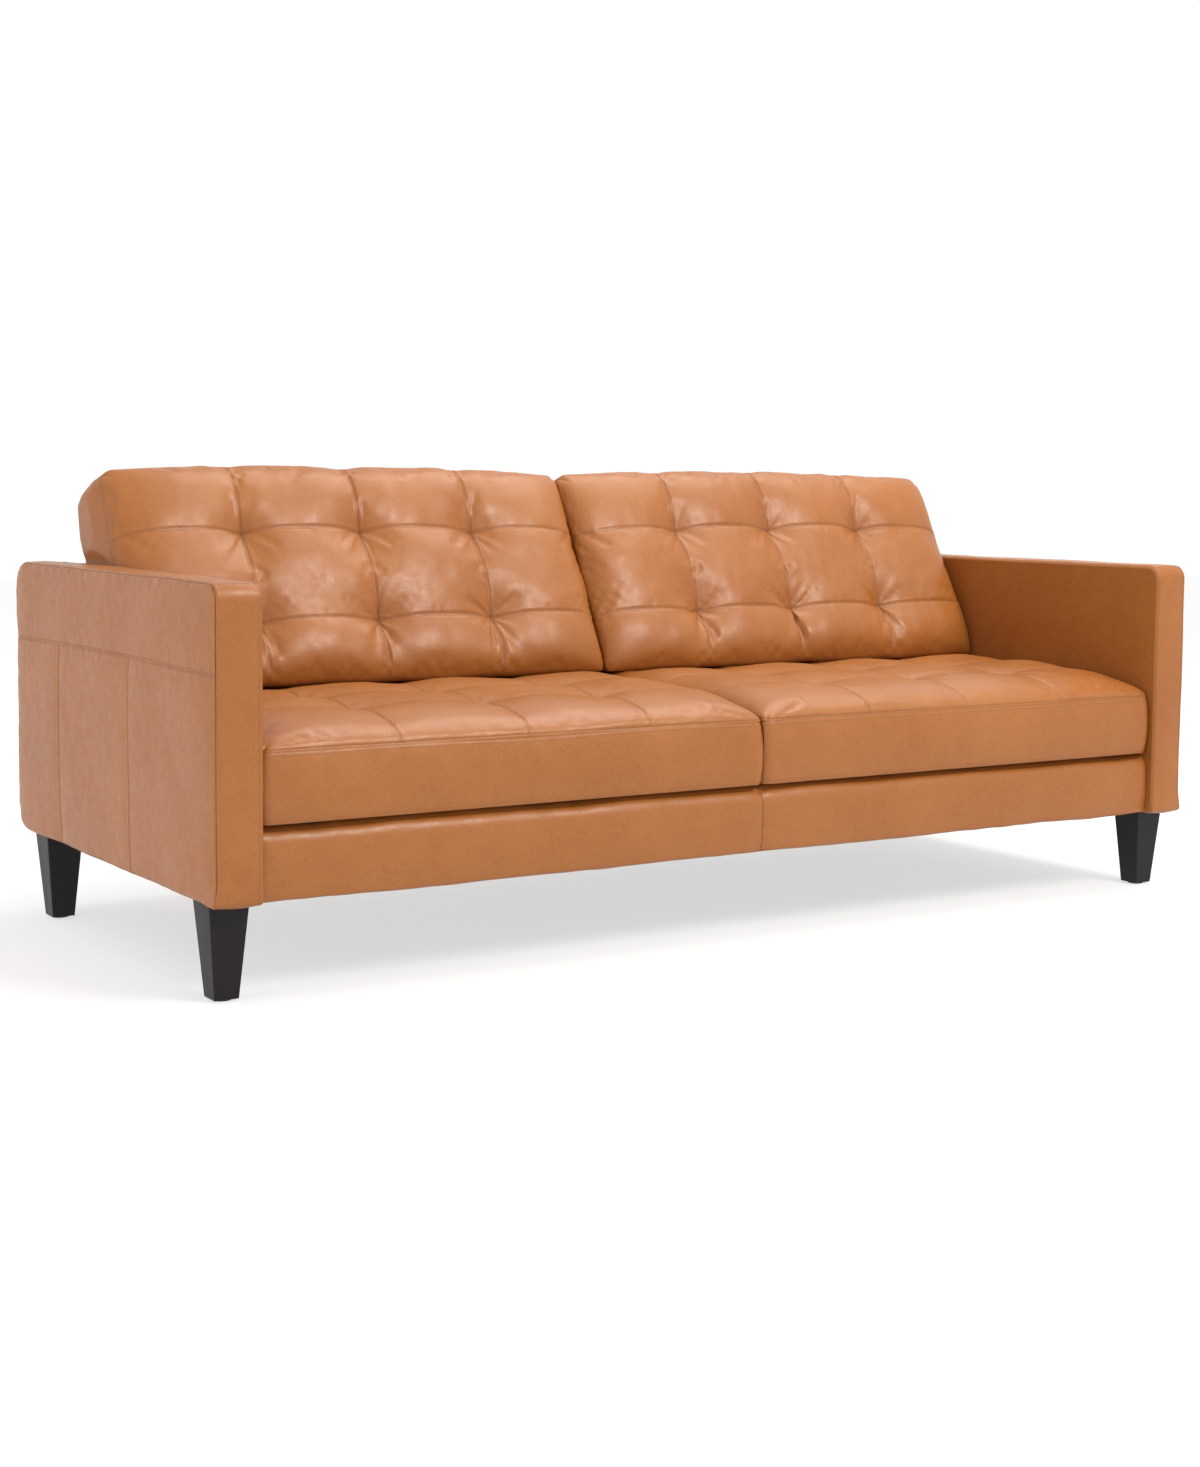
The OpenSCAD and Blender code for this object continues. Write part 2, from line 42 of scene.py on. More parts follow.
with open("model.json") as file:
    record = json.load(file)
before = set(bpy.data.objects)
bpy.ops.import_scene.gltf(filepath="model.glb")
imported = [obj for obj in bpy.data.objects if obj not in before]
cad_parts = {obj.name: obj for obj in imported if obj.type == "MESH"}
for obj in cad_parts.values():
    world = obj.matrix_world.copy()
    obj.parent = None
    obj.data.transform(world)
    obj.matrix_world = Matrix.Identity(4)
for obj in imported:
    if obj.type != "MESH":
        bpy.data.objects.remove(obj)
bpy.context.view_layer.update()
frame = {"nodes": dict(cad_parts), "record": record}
SIDES = {"left": -1, "right": 1}
MM = 0.001


# ---------------------------------------------------------------------------- sizes and colours

class LeatherSettings(bpy.types.PropertyGroup):
    """Colours and finish of the cover leather and its thread."""
    tan: FloatVectorProperty(name="Tan", description="Main colour of the leather", subtype="COLOR",
                             default=(0.268, 0.085, 0.0145), min=0, max=1)
    pale: FloatVectorProperty(name="Pale tan", description="Colour of the lighter clouds in the hide",
                              subtype="COLOR", default=(0.315, 0.111, 0.024), min=0, max=1)
    # Colour of the painted shade that darkens seams, folds and the hollows round pulled points; the leather
    # also uses it for random darker flecks and pores
    crease_shade: FloatVectorProperty(name="Crease", description="Colour that gathers in seams and folds",
                                subtype="COLOR", default=(0.090, 0.024, 0.006), min=0, max=1)
    thread: FloatVectorProperty(name="Thread", description="Colour of the topstitching", subtype="COLOR",
                                default=(0.330, 0.130, 0.036), min=0, max=1)
    gloss: FloatProperty(name="Roughness", description="Mean roughness of the finish", default=0.37,
                         min=0.1, max=0.9, subtype="FACTOR")


class CushionSettings(bpy.types.PropertyGroup):
    """How the loose cushions are filled, sewn and tufted."""
    seat_crown: FloatProperty(name="Seat crown", description="Height of a seat's crown over its seam",
                              default=0.054, unit="LENGTH")
    seat_tuft: FloatProperty(name="Seat tuft", description="Depth of a pulled point in a seat cushion",
                             default=0.018, unit="LENGTH")
    back_crown: FloatProperty(name="Back crown", description="Bulge of a back cushion past its edges",
                              default=0.050, unit="LENGTH")
    back_tuft: FloatProperty(name="Back tuft", description="Depth of a pulled point in a back cushion",
                             default=0.029, unit="LENGTH")
    needle_gap: FloatProperty(name="Needle gap", description="Distance of each topstitch row from its seam",
                              default=0.0031, unit="LENGTH")
    stitch_pitch: FloatProperty(name="Stitch pitch", description="Distance from one stitch to the next",
                                default=0.0046, unit="LENGTH")


class StageSettings(bpy.types.PropertyGroup):
    """The camera and the pale studio."""
    lens: FloatProperty(name="Lens", description="Focal length of the camera, in millimetres", default=53.4)
    eye: FloatVectorProperty(name="Eye", description="Place of the camera", subtype="TRANSLATION",
                             default=(-2.414, -3.672, 0.8385))
    turn: FloatProperty(name="Turn", description="Heading of the camera from straight ahead",
                        subtype="ANGLE", default=math.radians(32.88))
    dip: FloatProperty(name="Dip", description="How far the camera looks down", subtype="ANGLE",
                       default=math.radians(4.58))
    roll: FloatProperty(name="Roll", description="Tilt of the camera about its line of sight",
                        subtype="ANGLE", default=math.radians(0.54))
    world: FloatProperty(name="Surround", description="Brightness of the white surround", default=1.02)
    key: FloatProperty(name="Key light", description="Power of the soft box above the front", default=200,
                       unit="POWER")
    side: FloatProperty(name="Side light", description="Power of the low soft box on the left", default=32,
                        unit="POWER")
    top: FloatProperty(name="Top light", description="Power of the soft box overhead", default=90,
                       unit="POWER")


# ---------------------------------------------------------------------------- surfaces

def lines(stops, fine=1.2 * MM, coarse=9 * MM, growth=1.3):
    """Grid lines from the first stop to the last, through each: the step starts fine at a stop and grows
    by the same factor towards the middle of the stretch, where it is at most coarse."""
    out = [stops[0]]
    for low, high in zip(stops[:-1], stops[1:]):
        half = (high - low) / 2
        steps = np.minimum(fine * growth ** np.arange(200), coarse)
        count = max(int(np.searchsorted(np.cumsum(steps), half)), 1)
        offsets = np.cumsum(steps[:count])
        offsets *= half / offsets[-1]
        out += list(low + offsets[:-1]) + [(low + high) / 2] + list((high - offsets[:-1])[::-1]) + [high]
    return np.array(out)


def box_surface(xs, ys, zs):
    """The surface of a box cut by grid lines: its points, the quads that join them with outward faces, and
    the grid of point numbers of each of its six faces."""
    shape = (len(xs), len(ys), len(zs))
    i, j, k = np.meshgrid(*[np.arange(n) for n in shape], indexing="ij")
    skin = (i == 0) | (i == shape[0] - 1) | (j == 0) | (j == shape[1] - 1) | (k == 0) | (k == shape[2] - 1)
    ids = np.full(shape, -1)
    ids[skin] = np.arange(skin.sum())
    points = np.stack([xs[i[skin]], ys[j[skin]], zs[k[skin]]], 1)
    faces = {"left": ids[0], "right": ids[-1], "front": ids[:, 0], "rear": ids[:, -1],
             "bottom": ids[:, :, 0], "top": ids[:, :, -1]}
    quads = [grid_quads(faces[name], name in ("left", "rear", "bottom")) for name in faces]
    return points, np.concatenate(quads), faces


def grid_quads(grid, turned=False):
    """The quads of a grid of point numbers, turned over where asked."""
    corners = [grid[:-1, :-1], grid[1:, :-1], grid[1:, 1:], grid[:-1, 1:]]
    quads = np.stack([c.ravel() for c in corners], 1)
    return quads[:, ::-1] if turned else quads


def normals(points, quads):
    """Unit normals at the points: the sum of the cross products of the diagonals of the quads round each."""
    p = points[quads]
    n = np.cross(p[:, 2] - p[:, 0], p[:, 3] - p[:, 1])
    total = [np.bincount(quads.ravel(), np.repeat(n[:, c], 4), len(points)) for c in range(3)]
    total = np.stack(total, 1)
    return total / np.maximum(np.linalg.norm(total, axis=1), 1e-12)[:, None]


def waves(p, length, seed, count=14):
    """Smooth noise of about unit size: sine waves of about the given length, summed, in directions and
    phases drawn from the seed."""
    draw = np.random.default_rng(seed)
    way = draw.normal(size=(count, p.shape[1]))
    way /= np.linalg.norm(way, axis=1)[:, None]
    phase = p @ way.T * (2 * math.pi / length) * draw.uniform(0.7, 1.4, count)
    return np.sin(phase + draw.uniform(0, 2 * math.pi, count)).sum(1) / math.sqrt(count / 2)


def ease(x):
    """Smooth step from 0 to 1 as x goes from 0 to 1."""
    x = np.clip(x, 0, 1)
    return x * x * (3 - 2 * x)


def shoulder(distance, reach):
    """Quarter ellipse: 0 at an edge, upright there, and 1 from reach onwards."""
    t = np.clip(distance / reach, 0, 1)
    return np.sqrt(1 - (1 - t) ** 2)


def rolled_over(u, length, low, high):
    """Positions and heights across a panel that rolls up from both ends as quarter ellipses with the
    reaches low and high: the position is reach times 1 - cos a, the height sin a, with a in step with u."""
    a = np.clip(u / low, 0, 1) * math.pi / 2
    b = np.clip((length - u) / high, 0, 1) * math.pi / 2
    place = np.where(u < low, low * (1 - np.cos(a)), u)
    place = np.where(length - u < high, length - high * (1 - np.cos(b)), place)
    return place, np.sin(a) * np.sin(b)


def valley(distance, reach):
    """1 on a seam, falling to 0 at reach, with a crease in the middle."""
    return np.clip(1 - np.abs(distance) / reach, 0, 1) ** 2


def bead(distance, width):
    """A bell of the given half width about 0."""
    return np.exp(-(distance / width) ** 2)


def plain_seam(distance):
    """Relief across a joined seam: a narrow cut between two softly raised edges."""
    return -1.5 * MM * bead(distance, 1.3 * MM) + 0.5 * MM * bead(np.abs(distance) - 3.5 * MM, 2.5 * MM)


def twin_seam(distance, gap):
    """Relief across a seam with a topstitch row on each side: a cut, raised lips and two pressed rows."""
    d = np.abs(distance)
    return (-0.8 * MM * bead(d, 0.8 * MM) + 0.5 * MM * bead(d - 0.5 * gap, 0.9 * MM)
            - 0.6 * MM * bead(d - gap, 0.8 * MM) + 0.5 * MM * bead(d - gap - 2.6 * MM, 2.0 * MM))


def rolled_edge(distance):
    """Relief across a turned edge seam: a thin roll with a groove along each side."""
    d = np.abs(distance)
    return 0.5 * MM * bead(d, 1.2 * MM) - 0.8 * MM * bead(d - 2.2 * MM, 1.0 * MM)


def folds(dx, dy, seed, reach, down=0.3, count=10):
    """Folds that run out from a pulled point. Each is a narrow valley between raised sides at its own
    angle, which bends a little with the distance r; it grows as r and dies away past its length. The share
    down of them gathers round the direction straight down."""
    draw = np.random.default_rng(seed)
    r, angle = np.hypot(dx, dy), np.arctan2(dy, dx)
    total = np.zeros_like(r)
    for _ in range(count):
        low = draw.uniform() < down
        centre = draw.normal(-math.pi / 2, 0.5) if low else draw.uniform(-math.pi, math.pi)
        width, bend = draw.uniform(0.10, 0.22), draw.uniform(-6, 6)
        length = reach * draw.uniform(0.7, 1.5)
        size = draw.uniform(0.4, 1.0) * (1.5 if low else 1.0)
        off = np.abs((angle - centre - bend * r + math.pi) % (2 * math.pi) - math.pi)
        grow = r / length * np.exp(1 - r / length)
        total += size * grow * (0.55 * bead(off - 2.1 * width, width) - bead(off, width))
    return total


def rounded_outline(y, z, low, high, radii, depth):
    """Carries points of a rectangle on to one with round corners. depth is each point's distance inside the
    outline afterwards. In a corner's square a point moves along its ray from the arc's centre to the radius
    less that depth; elsewhere it moves straight in or out. radii: low-low, low-high, high-high, high-low."""
    gaps = np.stack([y - low[0], high[0] - y, z - low[1], high[1] - z])
    nearest_side, move = gaps.argmin(0), depth - gaps.min(0)
    new_y = y + np.where(nearest_side == 0, move, 0) - np.where(nearest_side == 1, move, 0)
    new_z = z + np.where(nearest_side == 2, move, 0) - np.where(nearest_side == 3, move, 0)
    for radius, sy, sz in zip(radii, (-1, -1, 1, 1), (-1, 1, 1, -1)):
        cy = (low[0] + radius) if sy < 0 else (high[0] - radius)
        cz = (low[1] + radius) if sz < 0 else (high[1] - radius)
        dy, dz = (y - cy) * sy, (z - cz) * sz
        inside = (dy > 0) & (dz > 0)
        length = np.maximum(np.hypot(dy, dz), 1e-9)
        keep = radius - depth
        new_y = np.where(inside, cy + sy * keep * dy / length, new_y)
        new_z = np.where(inside, cz + sz * keep * dz / length, new_z)
    return new_y, new_z


def make_mesh(name, points, quads, attributes=None):
    """A smooth mesh object from arrays of points and faces, with float attributes on its points."""
    mesh = bpy.data.meshes.new(name)
    size = quads.shape[1]
    mesh.vertices.add(len(points))
    mesh.vertices.foreach_set("co", points.astype(np.float32).ravel())
    mesh.loops.add(quads.size)
    mesh.loops.foreach_set("vertex_index", quads.astype(np.int32).ravel())
    mesh.polygons.add(len(quads))
    mesh.polygons.foreach_set("loop_start", np.arange(0, quads.size, size, dtype=np.int32))
    mesh.polygons.foreach_set("use_smooth", np.ones(len(quads), bool))
    for key, values in (attributes or {}).items():
        layer = mesh.attributes.new(key, "FLOAT", "POINT")
        layer.data.foreach_set("value", values.astype(np.float32))
    mesh.update(calc_edges=True)
    mesh.validate()
    piece = bpy.data.objects.new(name, mesh)
    bpy.context.scene.collection.objects.link(piece)
    return piece


def mirrored(points, quads, side):
    """The shape as drawn for the right of the sofa, or its mirror image, still facing outwards."""
    return (points, quads) if side > 0 else (points * (-1, 1, 1), quads[:, ::-1])


def on_grid(field, us, vs, u, v):
    """Values of a field on a grid of lines at the places (u, v), by linear interpolation both ways."""
    i = np.clip(np.searchsorted(us, u) - 1, 0, len(us) - 2)
    j = np.clip(np.searchsorted(vs, v) - 1, 0, len(vs) - 2)
    a = ((u - us[i]) / (us[i + 1] - us[i]))[:, None]
    b = ((v - vs[j]) / (vs[j + 1] - vs[j]))[:, None]
    return ((field[i, j] * (1 - a) + field[i + 1, j] * a) * (1 - b)
            + (field[i, j + 1] * (1 - a) + field[i + 1, j + 1] * a) * b)


def smoothly(field, us, u):
    """Values of a field along its first axis at the places u, on cubic curves through the lines us."""
    slope = np.gradient(field, us, axis=0)
    i = np.clip(np.searchsorted(us, u, side="right") - 1, 0, len(us) - 2)
    step = (us[i + 1] - us[i])[:, None, None]
    t = (u - us[i])[:, None, None] / step
    return (field[i] * (2 * t ** 3 - 3 * t ** 2 + 1) + field[i + 1] * (3 * t ** 2 - 2 * t ** 3)
            + step * (slope[i] * (t ** 3 - 2 * t ** 2 + t) + slope[i + 1] * (t ** 3 - t ** 2)))


FACE_AXES = {"left": (1, 2), "right": (1, 2), "front": (0, 2), "rear": (0, 2), "bottom": (0, 1),
             "top": (0, 1)}


def carried(move, coarse, coarse_faces, fine, fine_faces, count):
    """Movements of a coarse box surface's points carried to a finer one that has the same parameters."""
    out = np.zeros((count, 3))
    for name, (a, b) in FACE_AXES.items():
        field = smoothly(move[coarse_faces[name]], coarse[a], fine[a])
        out[fine_faces[name]] = smoothly(field.transpose(1, 0, 2), coarse[b], fine[b]).transpose(1, 0, 2)
    return out


def swell(points, quads, held, sewn, spare, pressure=4.0, frames=20, cap=24 * MM):
    """Lets a cover settle as cloth under pressure from within: held fast at some points and loosely where it
    is sewn. spare is the share by which the cloth is too small for its shape, or too large if negative.
    Gives each point's movement, no longer than cap."""
    scene = bpy.context.scene
    piece = make_mesh("cover_as_cloth", points, quads)
    group = piece.vertex_groups.new(name="Held")
    group.add(np.flatnonzero(sewn).tolist(), 0.5, "REPLACE")
    group.add(np.flatnonzero(held).tolist(), 1.0, "REPLACE")
    cloth = piece.modifiers.new("Cloth", "CLOTH")
    cloth.settings.vertex_group_mass = "Held"
    cloth.settings.quality = 5
    cloth.settings.use_pressure = True
    cloth.settings.uniform_pressure_force = pressure
    cloth.settings.shrink_min = spare
    cloth.settings.effector_weights.gravity = 0
    cloth.point_cache.frame_start, cloth.point_cache.frame_end = 1, frames
    for number in range(1, frames + 1):
        scene.frame_set(number)
    settled = piece.evaluated_get(bpy.context.evaluated_depsgraph_get())
    places = np.empty(len(points) * 3, np.float32)
    settled.data.vertices.foreach_get("co", places)
    mesh = piece.data
    bpy.data.objects.remove(piece)
    bpy.data.meshes.remove(mesh)
    scene.frame_set(1)
    move = places.reshape(-1, 3) - points
    length = np.maximum(np.linalg.norm(move, axis=1), 1e-9)
    return move * np.minimum(1, cap / length)[:, None]


class StitchRun:
    """Gathers rows of stitches on the faces of a piece, and makes them one mesh."""

    def __init__(self, points, point_normals, pitch):
        self.points, self.normals, self.pitch = points, point_normals, pitch
        self.centres, self.tangents, self.ups = [], [], []

    def row(self, grid, us, vs, u, v):
        """A row along the path (u, v) on a face, stepped evenly by the length along the surface."""
        place = on_grid(self.points[grid], us, vs, u, v)
        up = on_grid(self.normals[grid], us, vs, u, v)
        along = np.concatenate([[0], np.cumsum(np.linalg.norm(np.diff(place, axis=0), axis=1))])
        count = int(along[-1] / self.pitch)
        if count < 2:
            return
        at = (np.arange(count) + 0.5) * along[-1] / count
        ends = [np.stack([np.interp(at + d, along, place[:, c]) for c in range(3)], 1)
                for d in (-0.3 * self.pitch, 0.3 * self.pitch)]
        way = ends[1] - ends[0]
        self.centres.append((ends[0] + ends[1]) / 2)
        self.tangents.append(way / np.maximum(np.linalg.norm(way, axis=1), 1e-9)[:, None])
        self.ups.append(np.stack([np.interp(at, along, up[:, c]) for c in range(3)], 1))

    def make(self, name, material, thick=0.7 * MM):
        """One mesh of all the rows: each stitch is a short spindle of four rings with four corners."""
        centre, way, up = (np.concatenate(a) for a in (self.centres, self.tangents, self.ups))
        up = up - (up * way).sum(1)[:, None] * way
        up /= np.maximum(np.linalg.norm(up, axis=1), 1e-9)[:, None]
        aside = np.cross(way, up)
        reach = 0.40 * self.pitch
        rings = [(-1.0, 0.25, -0.7), (-0.55, 1.0, 0.25), (0.55, 1.0, 0.25), (1.0, 0.25, -0.7)]
        points = [centre + way * (t * reach) + up * (thick * (lift + wide * math.sin(a)))
                  + aside * (thick * wide * math.cos(a))
                  for t, wide, lift in rings for a in (0, math.pi / 2, math.pi, 1.5 * math.pi)]
        points = np.stack(points, 1)
        quads = [[r * 4 + c, r * 4 + (c + 1) % 4, r * 4 + 4 + (c + 1) % 4, r * 4 + 4 + c]
                 for r in range(3) for c in range(4)]
        quads = np.array(quads + [[0, 3, 2, 1], [12, 13, 14, 15]])[:, ::-1]
        quads = quads[None] + 16 * np.arange(len(centre))[:, None, None]
        piece = make_mesh(name, points.reshape(-1, 3), quads.reshape(-1, 4))
        piece.data.materials.append(material)
        return piece


# ---------------------------------------------------------------------------- shader maths

class Sock:
    """A shader socket on which Python arithmetic adds Math nodes."""

    def __init__(self, shader, socket):
        self.shader, self.socket = shader, socket

    def _maths(self, operation, *values):
        return self.shader.node("ShaderNodeMath", {"operation": operation}, dict(enumerate(values)))[0]

    def __add__(self, other):
        return self._maths("ADD", self, other)

    def __mul__(self, other):
        return self._maths("MULTIPLY", self, other)

    __radd__ = __add__
    __rmul__ = __mul__


class Shader:
    """A material's node tree, built by one method that adds any node."""

    def __init__(self, name):
        self.material = bpy.data.materials.new(name)
        self.material.use_nodes = True
        self.tree = self.material.node_tree
        self.tree.nodes.clear()

    def node(self, kind, settings=None, inputs=None):
        """Adds a node: its settings first, then values or links on its inputs. Gives its outputs."""
        made = self.tree.nodes.new(kind)
        for key, value in (settings or {}).items():
            setattr(made, key, value)
        for key, value in (inputs or {}).items():
            if isinstance(value, Sock):
                self.tree.links.new(value.socket, made.inputs[key])
            else:
                made.inputs[key].default_value = value
        return [Sock(self, s) for s in made.outputs]

    def coords(self, scale=(1, 1, 1), turn=(0, 0, 0)):
        """Object coordinates, turned and scaled."""
        place = self.node("ShaderNodeTexCoord")[3]
        return self.node("ShaderNodeMapping", None, {"Vector": place, "Scale": scale, "Rotation": turn})[0]

    def noise(self, where, scale, detail=3.0, rough=0.5):
        """Cloudy noise from 0 to 1."""
        return self.node("ShaderNodeTexNoise", None,
                         {"Vector": where, "Scale": scale, "Detail": detail, "Roughness": rough})[0]

    def cells(self, where, scale):
        """Distance to the nearest centre in a pattern of cells."""
        return self.node("ShaderNodeTexVoronoi", None, {"Vector": where, "Scale": scale})[0]

    def span(self, value, low, high, to_low=0.0, to_high=1.0):
        """Carries low..high to to_low..to_high, clamped."""
        return self.node("ShaderNodeMapRange", None,
                         {"Value": value, "From Min": low, "From Max": high, "To Min": to_low,
                          "To Max": to_high})[0]

    def mix(self, share, a, b):
        """A colour between a and b."""
        return self.node("ShaderNodeMix", {"data_type": "RGBA"}, {"Factor": share, 6: a, 7: b})[2]

    def attribute(self, name):
        """A float attribute of the mesh."""
        return self.node("ShaderNodeAttribute", {"attribute_name": name})[2]

    def bump(self, height, distance, strength, below=None):
        """A normal bent by a height."""
        inputs = {"Height": height, "Distance": distance, "Strength": strength}
        if below is not None:
            inputs["Normal"] = below
        return self.node("ShaderNodeBump", None, inputs)[0]

    def finish(self, **inputs):
        """Ends the tree with a Principled shader, its sockets given by name."""
        inputs = {key.replace("_", " "): value for key, value in inputs.items()}
        surface = self.node("ShaderNodeBsdfPrincipled", None, inputs)[0]
        self.node("ShaderNodeOutputMaterial", None, {"Surface": surface})
        return self.material


def rgba(colour, share=1.0):
    """A colour with alpha, dimmed by a share."""
    return tuple(c * share for c in colour[:3]) + (1.0,)


def leather_material(name, settings):
    """Soft finished hide: clouds of paler tan, fine pebbled grain with pores, and painted shade that darkens
    the seams, folds and hollows round pulled points.
    """
    s = Shader(name)
    place = s.coords()
    clouds = s.span(s.noise(place, 5.5, 4), 0.36, 0.66)
    blotch = s.span(s.noise(place, 34, 3), 0.35, 0.68)
    pores = s.span(s.cells(place, 620), 0.0, 0.55)
    hide = s.mix(clouds * 0.6 + blotch * 0.25, rgba(settings.tan), rgba(settings.pale))
    hide = s.mix(s.span(s.noise(place, 210, 2), 0.42, 0.62, 0.0, 0.30), hide, rgba(settings.pale))
    # Random darker flecks and darker pores in the dark colour: the hide's own grain
    hide = s.mix(s.span(s.noise(place, 260, 2), 0.50, 0.68, 0.0, 0.20), hide, rgba(settings.crease_shade))
    hide = s.mix(s.span(pores, 0.0, 0.35, 0.16, 0.0), hide, rgba(settings.crease_shade))
    # Painted shade: the point attribute read here darkens seams, folds and the hollows round pulled points,
    # and makes them a little rougher
    crease_shade = s.attribute("crease_shade")
    hide = s.mix(crease_shade * 0.6, hide, rgba(settings.crease_shade))
    grain = s.noise(place, 330, 4, 0.62)
    rough = s.span(s.noise(place, 60, 3), 0.3, 0.7, settings.gloss - 0.04, settings.gloss + 0.07)
    soft = s.bump(s.noise(place, 95, 3), 0.22 * MM, 0.5)
    normal = s.bump(pores * 0.55 + grain * 0.45, 0.16 * MM, 0.8, soft)
    return s.finish(Base_Color=hide, Roughness=rough + crease_shade * 0.18, Normal=normal,
                    Specular_IOR_Level=0.40)


def thread_material(name, settings):
    """Twisted polyester thread."""
    s = Shader(name)
    twist = s.noise(s.coords(), 1800, 2)
    colour = s.mix(twist, rgba(settings.thread, 0.75), rgba(settings.thread, 1.25))
    return s.finish(Base_Color=colour, Roughness=s.span(twist, 0.3, 0.7, 0.45, 0.6))


def stained_wood_material(name):
    """Near-black espresso stain over a straight grain that runs up the leg, under satin lacquer."""
    s = Shader(name)
    place = s.coords(scale=(1, 1, 0.06))
    grain = s.noise(place, 260, 4, 0.6)
    broad = s.noise(place, 45, 3)
    colour = s.mix(grain * 0.6 + broad * 0.4, (0.0045, 0.0032, 0.0045, 1), (0.013, 0.009, 0.011, 1))
    normal = s.bump(grain, 0.12 * MM, 0.5)
    return s.finish(Base_Color=colour, Roughness=s.span(broad, 0.3, 0.7, 0.34, 0.44), Normal=normal,
                    Specular_IOR_Level=0.22)


def raw_wood_material(name, pale, dark, turn):
    """Planed timber or plywood with growth lines along its length."""
    s = Shader(name)
    place = s.coords(scale=(0.12, 1, 1), turn=turn)
    grain = s.noise(place, 120, 5, 0.6)
    growth_rings = s.span(s.noise(place, 30, 4), 0.35, 0.65)
    colour = s.mix(grain * 0.5 + growth_rings * 0.5, dark, pale)
    return s.finish(Base_Color=colour, Roughness=s.span(grain, 0.3, 0.7, 0.55, 0.75),
                    Normal=s.bump(grain, 0.2 * MM, 0.5))


def foam_material(name):
    """Open-cell foam."""
    s = Shader(name)
    cells = s.cells(s.coords(), 450)
    colour = s.mix(s.span(cells, 0.0, 0.6), (0.62, 0.56, 0.38, 1), (0.85, 0.80, 0.62, 1))
    return s.finish(Base_Color=colour, Roughness=s.span(cells, 0, 0.6, 0.95, 0.85),
                    Normal=s.bump(cells, 0.6 * MM, 0.8))


def cloth_material(name, dark, pale, pitch=1.4 * MM):
    """Plain weave: two sets of ribs at right angles, with loose fibres."""
    s = Shader(name)
    place = s.coords()
    wave = {"Vector": place, "Scale": 1 / pitch / 3, "Distortion": 0.6, "Detail": 1.0}
    ribs = [s.node("ShaderNodeTexWave", {"bands_direction": axis}, wave)[1] for axis in ("X", "Y")]
    weave = ribs[0] * 0.5 + ribs[1] * 0.5
    fibre = s.noise(place, 900, 3)
    colour = s.mix(weave * 0.6 + fibre * 0.4, dark, pale)
    return s.finish(Base_Color=colour, Roughness=s.span(fibre, 0.3, 0.7, 0.8, 0.95),
                    Normal=s.bump(weave, 0.25 * MM, 0.8))


def steel_material(name):
    """Zinc-plated steel with fine drawing marks."""
    s = Shader(name)
    marks = s.noise(s.coords(scale=(1, 0.1, 1)), 700, 3)
    colour = s.mix(marks, (0.42, 0.43, 0.45, 1), (0.62, 0.63, 0.64, 1))
    return s.finish(Base_Color=colour, Metallic=1.0, Roughness=s.span(marks, 0.3, 0.7, 0.28, 0.45))


def nylon_material(name):
    """Moulded black nylon."""
    s = Shader(name)
    speck = s.noise(s.coords(), 1400, 2)
    return s.finish(Base_Color=s.mix(speck, (0.012, 0.012, 0.013, 1), (0.03, 0.03, 0.03, 1)),
                    Roughness=s.span(speck, 0.3, 0.7, 0.45, 0.6), Normal=s.bump(speck, 0.05 * MM, 0.5))


MATERIALS = {
    "tan_leather": lambda look: leather_material("Tan_leather", look),
    "thread": lambda look: thread_material("Thread", look),
    "leg_wood": lambda look: stained_wood_material("Espresso_wood"),
    "beech": lambda look: raw_wood_material("Beech", (0.66, 0.46, 0.27, 1), (0.50, 0.31, 0.16, 1),
                                            (0, 0, 0)),
    "plywood": lambda look: raw_wood_material("Plywood", (0.62, 0.45, 0.28, 1), (0.48, 0.32, 0.18, 1),
                                              (0, math.pi / 2, 0)),
    "foam": lambda look: foam_material("Foam"),
    "black_cloth": lambda look: cloth_material("Black_cloth", (0.006, 0.006, 0.006, 1),
                                               (0.022, 0.022, 0.022, 1)),
    "zip_tape": lambda look: cloth_material("Zip_tape", (0.05, 0.025, 0.012, 1), (0.10, 0.05, 0.025, 1),
                                            0.9 * MM),
    "steel": lambda look: steel_material("Zinc_steel"),
    "glide_plastic": lambda look: nylon_material("Nylon"),
}
MADE = {}


def material(slot):
    """The material of a slot, made once."""
    if slot not in MADE:
        MADE[slot] = MATERIALS[slot](bpy.context.scene.sofa_leather)
    return MADE[slot]


def upholster(name, body, points, quads, crease_shade, replaced):
    """A leather piece that rides on a body and stands for CAD nodes."""
    # The crease values are painted shade, stored on the points for the leather material
    piece = make_mesh(name, points, quads, {"crease_shade": np.clip(crease_shade, 0, 1)})
    piece.data.materials.append(material("tan_leather"))
    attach(piece, body)
    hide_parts(*replaced)
    return piece


def sew(run, name, body, side=1):
    """The stitches of a run, mirrored to their side, as a piece that rides on a body."""
    if side < 0:
        for rows in (run.centres, run.tangents, run.ups):
            rows[:] = [row * (-1, 1, 1) for row in rows]
    piece = run.make(name, material("thread"))
    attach(piece, body)


# ---------------------------------------------------------------------------- arms

# Corner radii of an arm's side view: front foot, front top, rear top, rear foot.
ARM_RADII = (11 * MM, 28 * MM, 42 * MM, 50 * MM)
# Height of the yoke seam round the outside, how far it bows up midway on an arm, and the upright seams'
# distances behind the arm's front.
YOKE_Z = 0.535
YOKE_RISE = 5 * MM
ARM_PANELS = (0.370, 0.728)
# Distances of the single stitch rows from an arm's long edges, and of the seam across its top from the front.
STITCH_INSET = 7 * MM
BROW_INSET = 10 * MM


